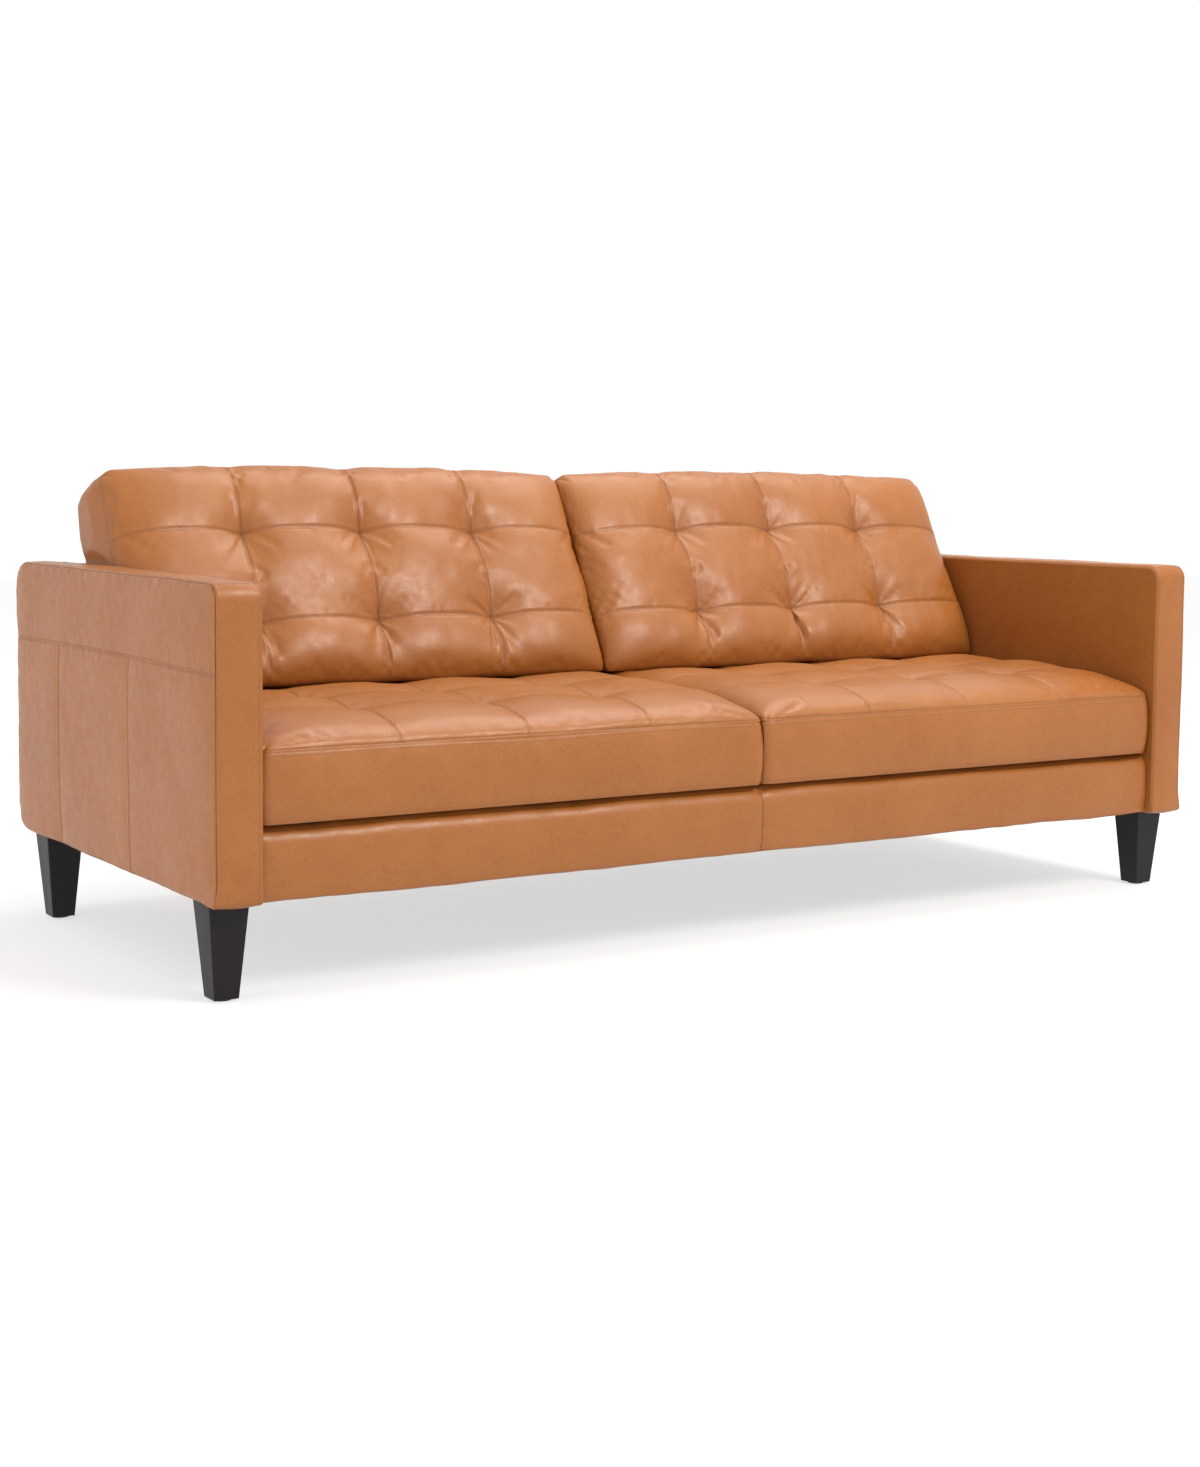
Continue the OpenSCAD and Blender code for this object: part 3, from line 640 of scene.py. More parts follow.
def arm_form(low, high, flat):
    """An arm as a padded slab. A box's points are carried to the arm's round-cornered side view, and the
    edges between that outline and the side panels turn through a quarter circle. The outer panel sinks
    towards its edges by shy times exp(-distance / 25 mm), but not at the very bottom."""
    x, y, z = flat.T
    thick, shy = high[0] - low[0], 4 * MM * ease((z - low[2]) / 0.04)
    outer = ease((x - low[0]) / thick)
    toe = ease((low[2] + 0.07 - z) / 0.07) * ease((y - low[1]) / 0.08)
    edge_r = 2 * MM + 3 * MM * ease((z - low[2]) / 0.04) + outer * toe * 12 * MM
    gap_x = np.minimum(x - low[0], high[0] - x)
    gap = np.minimum.reduce([y - low[1], high[1] - y, z - low[2], high[2] - z])
    sink = shy * (x - low[0]) / thick * np.exp(-gap / (25 * MM))
    a, b = edge_r - gap_x, edge_r - gap
    turn = (a > 0) & (b > 0)
    length = np.maximum(np.hypot(a, b), 1e-9)
    gap_x = np.where(turn, edge_r - edge_r * a / length, gap_x)
    gap = np.where(turn, edge_r - edge_r * b / length, gap)
    new_x = np.where(x - low[0] < high[0] - x, low[0] + gap_x, high[0] - gap_x) - sink
    new_y, new_z = rounded_outline(y, z, low[1:], high[1:], ARM_RADII, gap)
    return np.stack([new_x, new_y, new_z], 1)


def arm(name):
    """One arm's cover and its stitches: relief over the slab puffs its panels and sinks its seams."""
    side = SIDES[name]
    settings = bpy.context.scene.sofa_cushions
    gap = settings.needle_gap
    low, high = (np.array(c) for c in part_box("right_arm_cover"))
    xs = lines([low[0], high[0]], coarse=6 * MM)
    ys = lines([low[1], *(low[1] + d for d in ARM_PANELS), high[1]], coarse=7 * MM)
    zs = lines([low[2], YOKE_Z, high[2]], coarse=7 * MM)
    flat, quads, faces = box_surface(xs, ys, zs)
    points = arm_form(low, high, flat)
    x, y, z = flat.T
    on_outer, on_inner = x > high[0] - 1e-6, x < low[0] + 1e-6
    panel = on_outer | on_inner
    rim = np.minimum.reduce([y - low[1], high[1] - y, z - low[2], high[2] - z])
    to_edge = np.where(panel, rim, np.minimum(x - low[0], high[0] - x))
    relief = 2.0 * MM * (1 - np.exp(-to_edge / (30 * MM)))
    relief += np.where(panel, 0, 1.6 * MM) * np.sin(np.pi * (x - low[0]) / (high[0] - low[0]))
    raised = ease((z - low[2]) / 0.02)
    relief += -1.6 * MM * raised * bead(to_edge, 1.5 * MM) + 0.6 * MM * bead(to_edge - 5 * MM, 3 * MM)
    # Painted shade: these values darken the leather along the edge seams, the yoke, the upright seams, the
    # seam over the top and the stitch rows
    crease_shade = 0.6 * bead(to_edge, 1.2 * MM)
    yoke = np.where(on_outer, z - YOKE_Z - YOKE_RISE * np.sin(np.pi * (y - low[1]) / (high[1] - low[1])), 1)
    relief += twin_seam(yoke, gap) - 2.0 * MM * valley(yoke, 50 * MM)
    crease_shade += 0.45 * bead(yoke, 1.0 * MM)
    for depth in ARM_PANELS:
        seam = np.where(on_outer & (z < YOKE_Z + 1e-6), y - low[1] - depth, 1.0)
        relief += plain_seam(seam) - 1.6 * MM * valley(seam, 40 * MM)
        relief += 0.30 * MM * bead(seam, 7 * MM) * np.sin(z / (6.5 * MM) + waves(flat, 0.05, 5))
        crease_shade += 0.55 * bead(seam, 1.2 * MM)
    tucks = bead(yoke + 14 * MM, 16 * MM) + 0.6 * bead(yoke - 14 * MM, 14 * MM)
    relief += 0.25 * MM * tucks * waves(flat * (1, 1, 0.25), 0.016, 9)
    brow = np.where(~panel & (z > high[2] - 1e-6), y - low[1] - BROW_INSET, 1.0)
    relief += twin_seam(brow, gap)
    crease_shade += 0.35 * bead(brow, 1.0 * MM)
    ripple = bead(to_edge - 8 * MM, 10 * MM) * np.where(panel, 1, 0.5)
    relief += (0.22 + 0.2 * (z > high[2] - 12 * MM)) * MM * ripple * waves(flat, 0.03, 11 + side)
    relief += 0.5 * MM * waves(flat, 0.22, 3 + side) + 0.12 * MM * waves(flat, 0.06, 7 + side)
    row = np.where(panel, 1, to_edge - STITCH_INSET)
    relief -= 0.5 * MM * bead(row, 1.1 * MM)
    crease_shade += 0.40 * bead(row, 0.9 * MM)
    relief = np.where(on_inner, 0.3 * relief, relief)
    points = points + normals(points, quads) * relief[:, None]
    run = StitchRun(points, normals(points, quads), settings.stitch_pitch)
    deep = np.linspace(low[1] + 6 * MM, high[1] - 6 * MM, 400)
    tall = np.linspace(low[2] + 10 * MM, high[2] - 12 * MM, 300)
    curve = YOKE_Z + YOKE_RISE * np.sin(np.pi * (deep - low[1]) / (high[1] - low[1]))
    for shift in (-gap, gap):
        run.row(faces["right"], ys, zs, deep, curve + shift)
        run.row(faces["top"], xs, ys, np.linspace(low[0] + 4 * MM, high[0] - 4 * MM, 60),
                np.full(60, low[1] + BROW_INSET + shift))
    for edge in (low[0] + STITCH_INSET, high[0] - STITCH_INSET):
        run.row(faces["front"], xs, zs, np.full(300, edge), tall)
        run.row(faces["top"], xs, ys, np.full(400, edge), deep)
    points, quads = mirrored(points, quads, side)
    upholster(f"{name}_arm_leather", "frame", points, quads, crease_shade,
              [f"{name}_arm_cover", f"{name}_arm_padding"])
    sew(run, f"{name}_arm_stitches", "frame", side)


# ---------------------------------------------------------------------------- rail and low back

# Corner radii of the rail's side view, how far its leather hangs past the cover, and its top's clearance.
RAIL_RADII = (7 * MM, 34 * MM, 3 * MM, 3 * MM)
RAIL_HEM = 3.5 * MM
RAIL_TOP_GAP = 0.4 * MM


def front_rail():
    """The padded panel along the front, with a rounded top edge and a seam in the middle. Its face bulges
    as 1 - exp(-rise / 24 mm) from its top and bottom edges."""
    low, high = (np.array(c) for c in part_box("front_rail_cover"))
    low[2] -= RAIL_HEM
    xs = lines([low[0], 0, high[0]], coarse=12 * MM)
    ys = lines([low[1], high[1]], coarse=8 * MM)
    zs = lines([low[2], high[2]], coarse=6 * MM)
    flat, quads, _ = box_surface(xs, ys, zs)
    x, y, z = flat.T
    gap = np.minimum.reduce([y - low[1], high[1] - y, z - low[2], high[2] - z])
    new_y, new_z = rounded_outline(y, z, low[1:], high[1:], RAIL_RADII, gap)
    points = np.stack([x, new_y, new_z], 1)
    face = y < low[1] + 1e-6
    seam = np.where(face | (z > high[2] - 1e-6), x, 1.0)
    rise = np.where(face, np.minimum(z - low[2], high[2] - z), 0)
    ends = np.minimum(x - low[0], high[0] - x)
    relief = 6.5 * MM * (1 - np.exp(-rise / (24 * MM))) * ease(ends / 0.03 + 0.4)
    relief += plain_seam(seam) - 2.4 * MM * valley(seam, 45 * MM)
    relief -= 3 * MM * bead(ends - 70 * MM, 60 * MM) * ease((z - low[2]) / 0.1)
    relief += 0.9 * MM * waves(flat, 0.26, 21) + 0.3 * MM * waves(flat, 0.07, 22)
    relief += 0.6 * MM * bead(seam, 18 * MM) * waves(flat * (0.4, 1, 1), 0.022, 23)
    # Painted shade along the middle seam
    crease_shade = 0.6 * bead(seam, 1.3 * MM)
    points = points + normals(points, quads) * relief[:, None]
    points[:, 0] = np.clip(points[:, 0], low[0], high[0])
    points[:, 2] = np.minimum(points[:, 2], high[2] - RAIL_TOP_GAP)
    upholster("front_rail_leather", "frame", points, quads, crease_shade,
              ["front_rail_cover", "front_rail_padding"])


# Upright seams outside the low back, its thickness at the top, and the slope of its leaning front face.
BACK_SEAMS = (-0.503, 0.503)
LOW_BACK_DEEP = 0.148
LOW_BACK_RADII = (4 * MM, 30 * MM, 22 * MM, 6 * MM)
REAR_LEAN = math.tan(math.radians(10.8))


def low_back():
    """The low back between the arms: a leaning front face, a rounded top and a flat outside panel with a
    yoke seam that carries on from the arms. The front face moves back with height as the lean says."""
    low, high = (np.array(c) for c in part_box("back_cover"))
    settings = bpy.context.scene.sofa_cushions
    gap = settings.needle_gap
    xs = lines([low[0], *BACK_SEAMS, high[0]], coarse=14 * MM)
    ts = lines([0.0, 1.0], fine=0.012, coarse=0.05)
    zs = lines([low[2], YOKE_Z, high[2]], coarse=7 * MM)
    flat, quads, faces = box_surface(xs, ts, zs)
    x, t, z = flat.T
    depth = t * LOW_BACK_DEEP
    gap_in = np.minimum.reduce([depth, (1 - t) * LOW_BACK_DEEP, z - low[2], high[2] - z])
    new_y, new_z = rounded_outline(depth, z, (0.0, low[2]), (LOW_BACK_DEEP, high[2]), LOW_BACK_RADII, gap_in)
    face_y = high[1] - LOW_BACK_DEEP + REAR_LEAN * (new_z - high[2])
    points = np.stack([x, face_y + new_y / LOW_BACK_DEEP * (high[1] - face_y), new_z], 1)
    outside = t > 1 - 1e-6
    yoke = np.where(outside, z - YOKE_Z, 1.0)
    edges = np.where(outside, np.minimum.reduce([x - low[0], high[0] - x, high[2] - z]), 0.05)
    relief = np.where(outside, 3.0 * MM, 1.5 * MM) * (1 - np.exp(-edges / (28 * MM)))
    relief += twin_seam(yoke, gap) - 1.8 * MM * valley(yoke, 50 * MM)
    # Painted shade along the yoke and the upright seams
    crease_shade = 0.45 * bead(yoke, 1.0 * MM)
    for place in BACK_SEAMS:
        seam = np.where(outside & (z < YOKE_Z + 1e-6), x - place, 1.0)
        relief += plain_seam(seam) - 1.4 * MM * valley(seam, 40 * MM)
        crease_shade += 0.55 * bead(seam, 1.2 * MM)
    relief += (0.8 * MM * waves(flat * (1, 0.1, 1), 0.24, 31)
               + 0.25 * MM * waves(flat * (1, 0.1, 1), 0.07, 32))
    points = points + normals(points, quads) * relief[:, None]
    points[:, 0] = np.clip(points[:, 0], low[0], high[0])
    run = StitchRun(points, normals(points, quads), settings.stitch_pitch)
    wide = np.linspace(low[0] + 6 * MM, high[0] - 6 * MM, 500)
    for shift in (-gap, gap):
        run.row(faces["rear"], xs, zs, wide, np.full(500, YOKE_Z + shift))
    upholster("low_back_leather", "frame", points, quads, crease_shade, ["back_cover", "back_padding"])
    sew(run, "low_back_stitches", "frame")


# ---------------------------------------------------------------------------- cushions

def tufts(to_column, to_row, depth, flush, near, reach, cone):
    """Depth of a tufted panel under its crown. Along each seam runs a creased valley of the given reach,
    whose depth falls from near at a pulled point to flush between two; a cone stands on each crossing."""
    fall = 52 * MM
    along_column = flush + (near - flush) * bead(to_row, fall)
    along_row = flush + (near - flush) * bead(to_column, fall)
    sunk = np.maximum(along_column * valley(to_column, reach), along_row * valley(to_row, reach))
    far = np.hypot(to_column, to_row)
    return sunk + (depth - near) * np.exp(-(np.sqrt(far ** 2 + (4 * MM) ** 2) - 4 * MM) / cone)


def panel_seams(to_column, to_row, gap):
    """Relief of the double-needle seams on a tufted panel, and painted shade that darkens the seams, the
    stitch rows beside them and the hollows round the pulled points.
    """
    far = np.hypot(to_column, to_row)
    relief = twin_seam(to_column, gap) + twin_seam(to_row, gap)
    crease_shade = 0.18 * (bead(to_column, 0.8 * MM) + bead(to_row, 0.8 * MM))
    crease_shade += 0.24 * (bead(to_column - gap, 0.8 * MM) + bead(to_row - gap, 0.8 * MM))
    return relief, crease_shade + 0.60 * bead(far, 5 * MM) + 0.22 * bead(far, 18 * MM)


def all_folds(u, v, columns, rows, seed, reach, down):
    """The folds round every pulled point."""
    return sum(folds(u - c, v - r, seed + 10 * a + b, reach, down)
               for a, c in enumerate(columns) for b, r in enumerate(rows))


def nearest(u, v, columns, rows, length, depth):
    """Distances of the places (u, v) on a panel from its edge, its nearest column seam and row seam."""
    return (np.minimum.reduce([u, length - u, v, depth - v]), np.min([np.abs(u - c) for c in columns], 0),
            np.min([np.abs(v - r) for r in rows], 0))


def swollen(form, coarse, fine, on_panel, spots, spare, calm=60 * MM):
    """Points of a form on the fine grid lines after its panel has settled as cloth on the coarse ones. The
    pulled points are held, and movement dies away over the last stretch, calm, to the panel's edge."""
    points = form(box_surface(*fine)[0])
    flat, quads, faces = box_surface(*coarse)
    to_edge, to_column, to_row = spots(flat)
    held = ~on_panel(flat) | (to_edge < 1e-9) | (np.hypot(to_column, to_row) < 12 * MM)
    move = swell(form(flat), quads, held, np.minimum(to_column, to_row) < 2 * MM, spare)
    move *= ease(to_edge / calm)[:, None]
    return points + carried(move, coarse, faces, fine, box_surface(*fine)[2], len(points))


# Height of a seat cushion's top seam in front, and how far its top rolls in from the sides, front and rear.
SEAT_SEAM_Z = 0.408
SEAT_SIDE_ROLL = 0.085
SEAT_FRONT_ROLL = 0.155
SEAT_REAR_ROLL = 0.03
SEAT_RADII = (18 * MM, 8 * MM, 8 * MM, 18 * MM)
# Where a back cushion's front and rear faces start below, (y, z), and the heights at which they end.
BACK_FOOT = (0.070, 0.4568)
HEEL = (0.2913, 0.4515)
BACK_TOP_Z = 0.868
BACK_CREST_Z = 0.810
# A back cushion's front: its slope, the heights of its rows of pulled points and how much lower they are on
# the flat panel, and how far it rolls in at its sides, foot and head.
FRONT_LEAN = math.tan(math.radians(27.2))
BACK_ROWS_Z = (0.572, 0.7415)
BACK_ROW_DROP = 9 * MM
BACK_SIDE_ROLL = 0.11
BACK_FOOT_ROLL = 0.085
BACK_HEAD_ROLL = 0.13
BACK_RADII = (14 * MM, 22 * MM, 26 * MM, 14 * MM)
# How far a cushion may stand past its box at the middle of the sofa and beside the arm, its clearance under
# the back cushions, and the height of the arms, above which a back cushion is free to bulge.
INNER_SPILL = 0.8 * MM
OUTER_SPILL = 0.2 * MM
UNDERSIDE_GAP = 0.6 * MM
ARM_TOP_Z = 0.685


def back_underside(y):
    """Height of the back cushions' underside, a straight line that falls from the foot to the heel."""
    fall = (BACK_FOOT[1] - HEEL[1]) / (HEEL[0] - BACK_FOOT[0])
    return BACK_FOOT[1] - np.clip(y - BACK_FOOT[0], 0, 1) * fall


def seat_seam(y):
    """Height of a seat cushion's top seam, which climbs by 14 mm over 0.5 m from the front."""
    return SEAT_SEAM_Z + ease(y / 0.5) * 14 * MM


def panel_rows(run, face, us, vs, columns, rows, gap, across, along):
    """A row of stitches on each side of every column seam and row seam of a tufted panel."""
    for shift in (-gap, gap):
        for c in columns:
            run.row(face, us, vs, np.full(len(along), c + shift), along)
        for r in rows:
            run.row(face, us, vs, across, np.full(len(across), r + shift))


def seat_cushion(name):
    """A seat cushion: a boxed cushion whose crowned top panel is sewn in a grid and pulled down at each
    crossing. The front edge stands upright at its seam and rolls back on to the top."""
    side = SIDES[name]
    settings = bpy.context.scene.sofa_cushions
    low, high = (np.array(c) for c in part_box("right_seat_cover"))
    width, deep, tall = high[0] - low[0], high[1] - low[1], SEAT_SEAM_Z - low[2]
    columns = [width * k / 4 for k in (1, 2, 3)]
    rows = [deep * k / 4 for k in (1, 2, 3)]
    fine = [lines([0, *columns, width], coarse=4.6 * MM, growth=1.16),
            lines([0, *rows, deep], coarse=4.6 * MM, growth=1.16), lines([0, tall], coarse=6 * MM)]
    coarse = [lines([0, *columns, width], 9 * MM, 11 * MM), lines([0, *rows, deep], 9 * MM, 11 * MM),
              lines([0, tall], 10 * MM, 14 * MM)]

    def form(flat):
        """The plan has small round corners; each height is a share of the seam's height, and the top adds a
        crown that rises as a quarter ellipse from every edge, less the tufts."""
        x, y, z = flat.T
        top = z > tall - 1e-9
        x, rise_x = rolled_over(x, width, SEAT_SIDE_ROLL, SEAT_SIDE_ROLL)
        y, _ = rolled_over(y, deep, SEAT_FRONT_ROLL, SEAT_REAR_ROLL)
        plan, to_column, to_row = nearest(x, y, columns, rows, width, deep)
        px, py = rounded_outline(x, y, (0, 0), (width, deep), SEAT_RADII, plan)
        seam = seat_seam(y) + 1.0 * MM * waves(flat * (1, 1, 0), 0.5, 41 + side)
        crest = SEAT_SEAM_Z + settings.seat_crown
        crown = (crest - seam) * rise_x ** 0.8 * shoulder(y, 0.22) * shoulder(deep - y, SEAT_REAR_ROLL)
        sunk = tufts(to_column, to_row, settings.seat_tuft, 2.5 * MM, 8 * MM, 66 * MM, 40 * MM)
        rise = np.where(top, crown - sunk * shoulder(plan, 0.06), 0)
        nose = np.where(top, 7 * MM * np.sin(np.pi * np.clip(y / 0.055, 0, 1)), 0)
        new_z = low[2] + z / tall * (seam - low[2]) + rise
        return np.stack([px + low[0], py + low[1] - nose, new_z], 1)

    points = swollen(form, coarse, fine, lambda f: f[:, 2] > tall - 1e-9,
                     lambda f: nearest(f[:, 0], f[:, 1], columns, rows, width, deep), 0.0)
    flat, quads, faces = box_surface(*fine)
    x, y, z = flat.T
    top, band = z > tall - 1e-9, (z < tall - 1e-9) & (z > 1e-9)
    plan, to_column, to_row = nearest(x, y, columns, rows, width, deep)
    lift = np.maximum(points[:, 2] - seat_seam(y), 0)
    relief, crease_shade = panel_seams(to_column, to_row, settings.needle_gap)
    fade = shoulder(plan, 0.02)
    creased = 0.5 * MM * all_folds(x, y, columns, rows, 100 + side, 26 * MM, 0.2)
    relief = np.where(top, relief * fade + creased, 0)
    crease_shade = np.where(top, crease_shade, 0)
    relief += np.where(band, 8 * MM * np.sin(np.pi * z / tall) ** 0.7, 0)
    to_seam = np.where(top, np.hypot(lift, plan * (plan < 1e-9)), tall - z)
    to_foot = np.where(z > 1e-9, np.where(band, z, 1), plan)
    relief += rolled_edge(np.where(z > 1e-9, to_seam, 1)) + rolled_edge(to_foot)
    # Painted shade along the seams at the top and foot of the band and along its stitch rows, besides the
    # panel's painted shade kept to the top
    crease_shade = crease_shade + 0.45 * bead(to_seam - 2.0 * MM, 0.9 * MM) + 0.35 * bead(to_foot - 2.0 * MM, 0.9 * MM)
    crease_shade = crease_shade + np.where(band, 0.25, 0) * bead(np.minimum(z, tall - z) - 7 * MM, 0.7 * MM)
    ruck = bead(to_seam - 12 * MM, 12 * MM) + bead(to_foot - 12 * MM, 12 * MM)
    relief += 0.12 * MM * ruck * waves(flat * (1, 1, 0.3), 0.022, 51 + side)
    loose = np.where(z > 1e-9, 1, 0.1)
    relief += loose * (0.8 * MM * waves(flat, 0.17, 61 + side) + 0.18 * MM * waves(flat, 0.05, 62 + side))
    points = points + normals(points, quads) * relief[:, None]
    ceiling = back_underside(points[:, 1]) - UNDERSIDE_GAP + 40 * MM * ease((0.045 - points[:, 1]) / 0.10)
    over = points[:, 2] - ceiling
    points[:, 2] -= (over + np.hypot(over, 1.0 * MM)) / 2
    points[:, 0] = np.clip(points[:, 0], low[0] - INNER_SPILL, high[0] + OUTER_SPILL)
    points[:, 1] = np.minimum(points[:, 1], high[1] - 1 * MM)
    points[:, 2] = np.maximum(points[:, 2], low[2])
    run = StitchRun(points, normals(points, quads), settings.stitch_pitch)
    across, back = np.linspace(6 * MM, width - 6 * MM, 500), np.linspace(5 * MM, deep - 6 * MM, 400)
    panel_rows(run, faces["top"], fine[0], fine[1], columns, rows, settings.needle_gap, across, back)
    for height in (tall - 7 * MM, 7 * MM):
        run.row(faces["front"], fine[0], fine[2], across, np.full(500, height))
    finish_cushion(name, "seat", points, quads, crease_shade, run, side,
                   [f"{name}_seat_cover", f"{name}_seat_foam"], f"{name}_seat_cushion")


def back_cushion(name):
    """A back cushion: a boxed wedge that leans on the low back. Its front panel bulges between the edge
    seams, curls back at the top, and is sewn in a grid with a pulled point at each crossing."""
    side = SIDES[name]
    settings = bpy.context.scene.sofa_cushions
    low, high = (np.array(c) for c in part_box("right_back_cushion_cover"))
    width, tall = high[0] - low[0], BACK_TOP_Z - BACK_FOOT[1]
    columns = [width * k / 4 for k in (1, 2, 3)]
    rows = [height - BACK_FOOT[1] - BACK_ROW_DROP for height in BACK_ROWS_Z]
    fine = [lines([0, *columns, width], coarse=4 * MM, growth=1.15), lines([0, 1], fine=0.012, coarse=0.05),
            lines([0, *rows, tall], coarse=4 * MM, growth=1.15)]
    coarse = [lines([0, *columns, width], 8 * MM, 10 * MM), lines([0, 1], 0.06, 0.10),
              lines([0, *rows, tall], 8 * MM, 10 * MM)]

    def form(flat):
        """The panel's outline has round corners and narrows a little to the front and top. Front and rear
        lean as two planes, the places between them lie on straight lines, and the front adds a crown that
        rises as a quarter ellipse from every edge, less the tufts, along the front's normal."""
        x, t, h = flat.T
        front = t < 1e-9
        x, rise_x = rolled_over(x, width, BACK_SIDE_ROLL, BACK_SIDE_ROLL)
        h, rise_h = rolled_over(h, tall, BACK_FOOT_ROLL, BACK_HEAD_ROLL)
        plan, to_column, to_row = nearest(x, h, columns, rows, width, tall)
        px, ph = rounded_outline(x, h, (0, 0), (width, tall), BACK_RADII, plan)
        pull = (1 + 4 * ease((h - 0.12) / 0.25)) * (1 - t) - 9 * t * ease((h - 0.25) / 0.1)
        px = px - px / width * pull * MM
        arch = 13 * MM * np.abs(2 * x / width - 1) ** 3 + 4 * MM * sum(bead(x - c, 28 * MM) for c in columns)
        arch = arch * ease(h / tall)
        front_y, front_z = BACK_FOOT[0] + FRONT_LEAN * ph, BACK_FOOT[1] + ph - arch
        rear_z = HEEL[1] + ph * (BACK_CREST_Z - HEEL[1]) / tall - 0.6 * arch
        rear_y = HEEL[0] + REAR_LEAN * (rear_z - HEEL[1])
        crown = settings.back_crown * rise_x ** 0.9 * rise_h ** 0.85
        sunk = tufts(to_column, to_row, settings.back_tuft, 3 * MM, 12 * MM, 72 * MM, 42 * MM)
        out = np.where(front, crown - sunk * shoulder(plan, 0.07), 0)
        tilt = math.hypot(1, FRONT_LEAN)
        y = front_y + t * (rear_y - front_y) - out / tilt
        return np.stack([px + low[0], y, front_z + t * (rear_z - front_z) + out * FRONT_LEAN / tilt], 1)

    points = swollen(form, coarse, fine, lambda f: f[:, 1] < 1e-9,
                     lambda f: nearest(f[:, 0], f[:, 2], columns, rows, width, tall), -0.006, 35 * MM)
    flat, quads, faces = box_surface(*fine)
    x, t, h = flat.T
    front, rear = t < 1e-9, t > 1 - 1e-9
    plan, to_column, to_row = nearest(x, h, columns, rows, width, tall)
    relief, crease_shade = panel_seams(to_column, to_row, settings.needle_gap)
    creased = 1.3 * MM * all_folds(x, h, columns, rows[:1], 200 + side, 26 * MM, 0.45)
    creased += 0.5 * MM * all_folds(x, h, columns, rows[1:], 300 + side, 24 * MM, 0.2)
    relief = np.where(front, relief * shoulder(plan, 0.02) + creased, 0)
    crease_shade = np.where(front, crease_shade, 0)
    relief += np.where(~front & ~rear, 7 * MM * np.sin(np.pi * t), 0) * ease(h / 0.05)
    thick = np.where(h > tall / 2, 0.10, 0.20)
    share = np.minimum.reduce([x / BACK_SIDE_ROLL, (width - x) / BACK_SIDE_ROLL, h / BACK_FOOT_ROLL,
                               (tall - h) / BACK_HEAD_ROLL])
    edge = math.pi / 2 * settings.back_crown * share
    to_seam = np.where(front, edge, t * thick)
    relief += rolled_edge(np.where(rear, 1, to_seam)) * ease(h / 0.02)
    to_rear = np.where(rear, plan, (1 - t) * thick)
    relief += 0.7 * rolled_edge(np.where(front, 1, to_rear)) * ease(h / 0.02)
    # Painted shade along the edge seam of the front panel, besides the panel's painted shade kept to the
    # front
    crease_shade = crease_shade + 0.5 * bead(to_seam - 2.0 * MM, 1.0 * MM)
    beside = np.minimum(x, width - x) < np.minimum(h, tall - h)
    gather = np.where(beside, np.sin(h / (2.6 * MM) + 2 * waves(flat, 0.08, 71)),
                      np.sin(x / (3.2 * MM) + 2 * waves(flat, 0.08, 72)))
    ruck = np.where(front, bead(plan - 16 * MM, 17 * MM), 0)
    gather = gather * np.where(beside, 1, 0.08)
    patchy = np.clip(0.4 + 0.6 * waves(flat * (1, 0, 1), 0.10, 73 + side), 0, 1.5)
    relief += 0.5 * MM * ruck * gather * patchy
    loose = np.where(rear, 0.15, 1)
    relief += loose * (1.1 * MM * waves(flat * (1, 0.1, 1), 0.15, 81 + side)
                       + 0.28 * MM * waves(flat * (1, 0.1, 1), 0.045, 82 + side))
    points = points + normals(points, quads) * relief[:, None]
    points[:, 1] = np.minimum(points[:, 1], HEEL[0] + REAR_LEAN * (points[:, 2] - HEEL[1]))
    points[:, 2] = np.maximum(points[:, 2], back_underside(points[:, 1]))
    beyond = OUTER_SPILL + 8 * MM * ease((points[:, 2] - ARM_TOP_Z) / 0.03)
    points[:, 0] = np.clip(points[:, 0], low[0] - INNER_SPILL, high[0] + beyond)
    run = StitchRun(points, normals(points, quads), settings.stitch_pitch)
    across, up = np.linspace(8 * MM, width - 8 * MM, 500), np.linspace(8 * MM, tall - 8 * MM, 400)
    panel_rows(run, faces["front"], fine[0], fine[2], columns, rows, settings.needle_gap, across, up)
    finish_cushion(name, "back", points, quads, crease_shade, run, side,
                   [f"{name}_back_cushion_cover", f"{name}_back_cushion_filling"], f"{name}_back_cushion")


def finish_cushion(name, kind, points, quads, crease_shade, run, side, replaced, body):
    points, quads = mirrored(points, quads, side)
    piece = upholster(f"{name}_{kind}_cushion_leather", body, points, quads, crease_shade, replaced)
    sew(run, f"{name}_{kind}_cushion_stitches", body, side)


# ---------------------------------------------------------------------------- legs

LEGS = ("front_left_leg", "front_right_leg", "rear_left_leg", "rear_right_leg")
# A leg's width at its foot as a share of its width at the top.
FOOT_SHARE = 43 / 70


def leg(name):
    """A square tapered leg: a box whose edges turn through a small circle, drawn in evenly to its foot."""
    low, high = (np.array(c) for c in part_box(name))
    width, tall, edge_r = high[0] - low[0], high[2] - low[2], 1.8 * MM
    xs = lines([-width / 2, width / 2], 0.6 * MM, 12 * MM, 1.6)
    zs = lines([-tall / 2, tall / 2], 0.6 * MM, 16 * MM, 1.6)
    flat, quads, _ = box_surface(xs, xs, zs)
    half = np.array([width, width, tall]) / 2 - edge_r
    core = np.clip(flat, -half, half)
    out = flat - core
    points = core + edge_r * out / np.maximum(np.linalg.norm(out, axis=1), 1e-9)[:, None]
    points[:, :2] *= (FOOT_SHARE + (1 - FOOT_SHARE) * (points[:, 2] / tall + 0.5))[:, None]
    piece = make_mesh(f"{name}_wood", points + (low + high) / 2, quads)
    piece.data.materials.append(material("leg_wood"))
    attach(piece, "frame")
    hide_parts(name)


# ---------------------------------------------------------------------------- studio

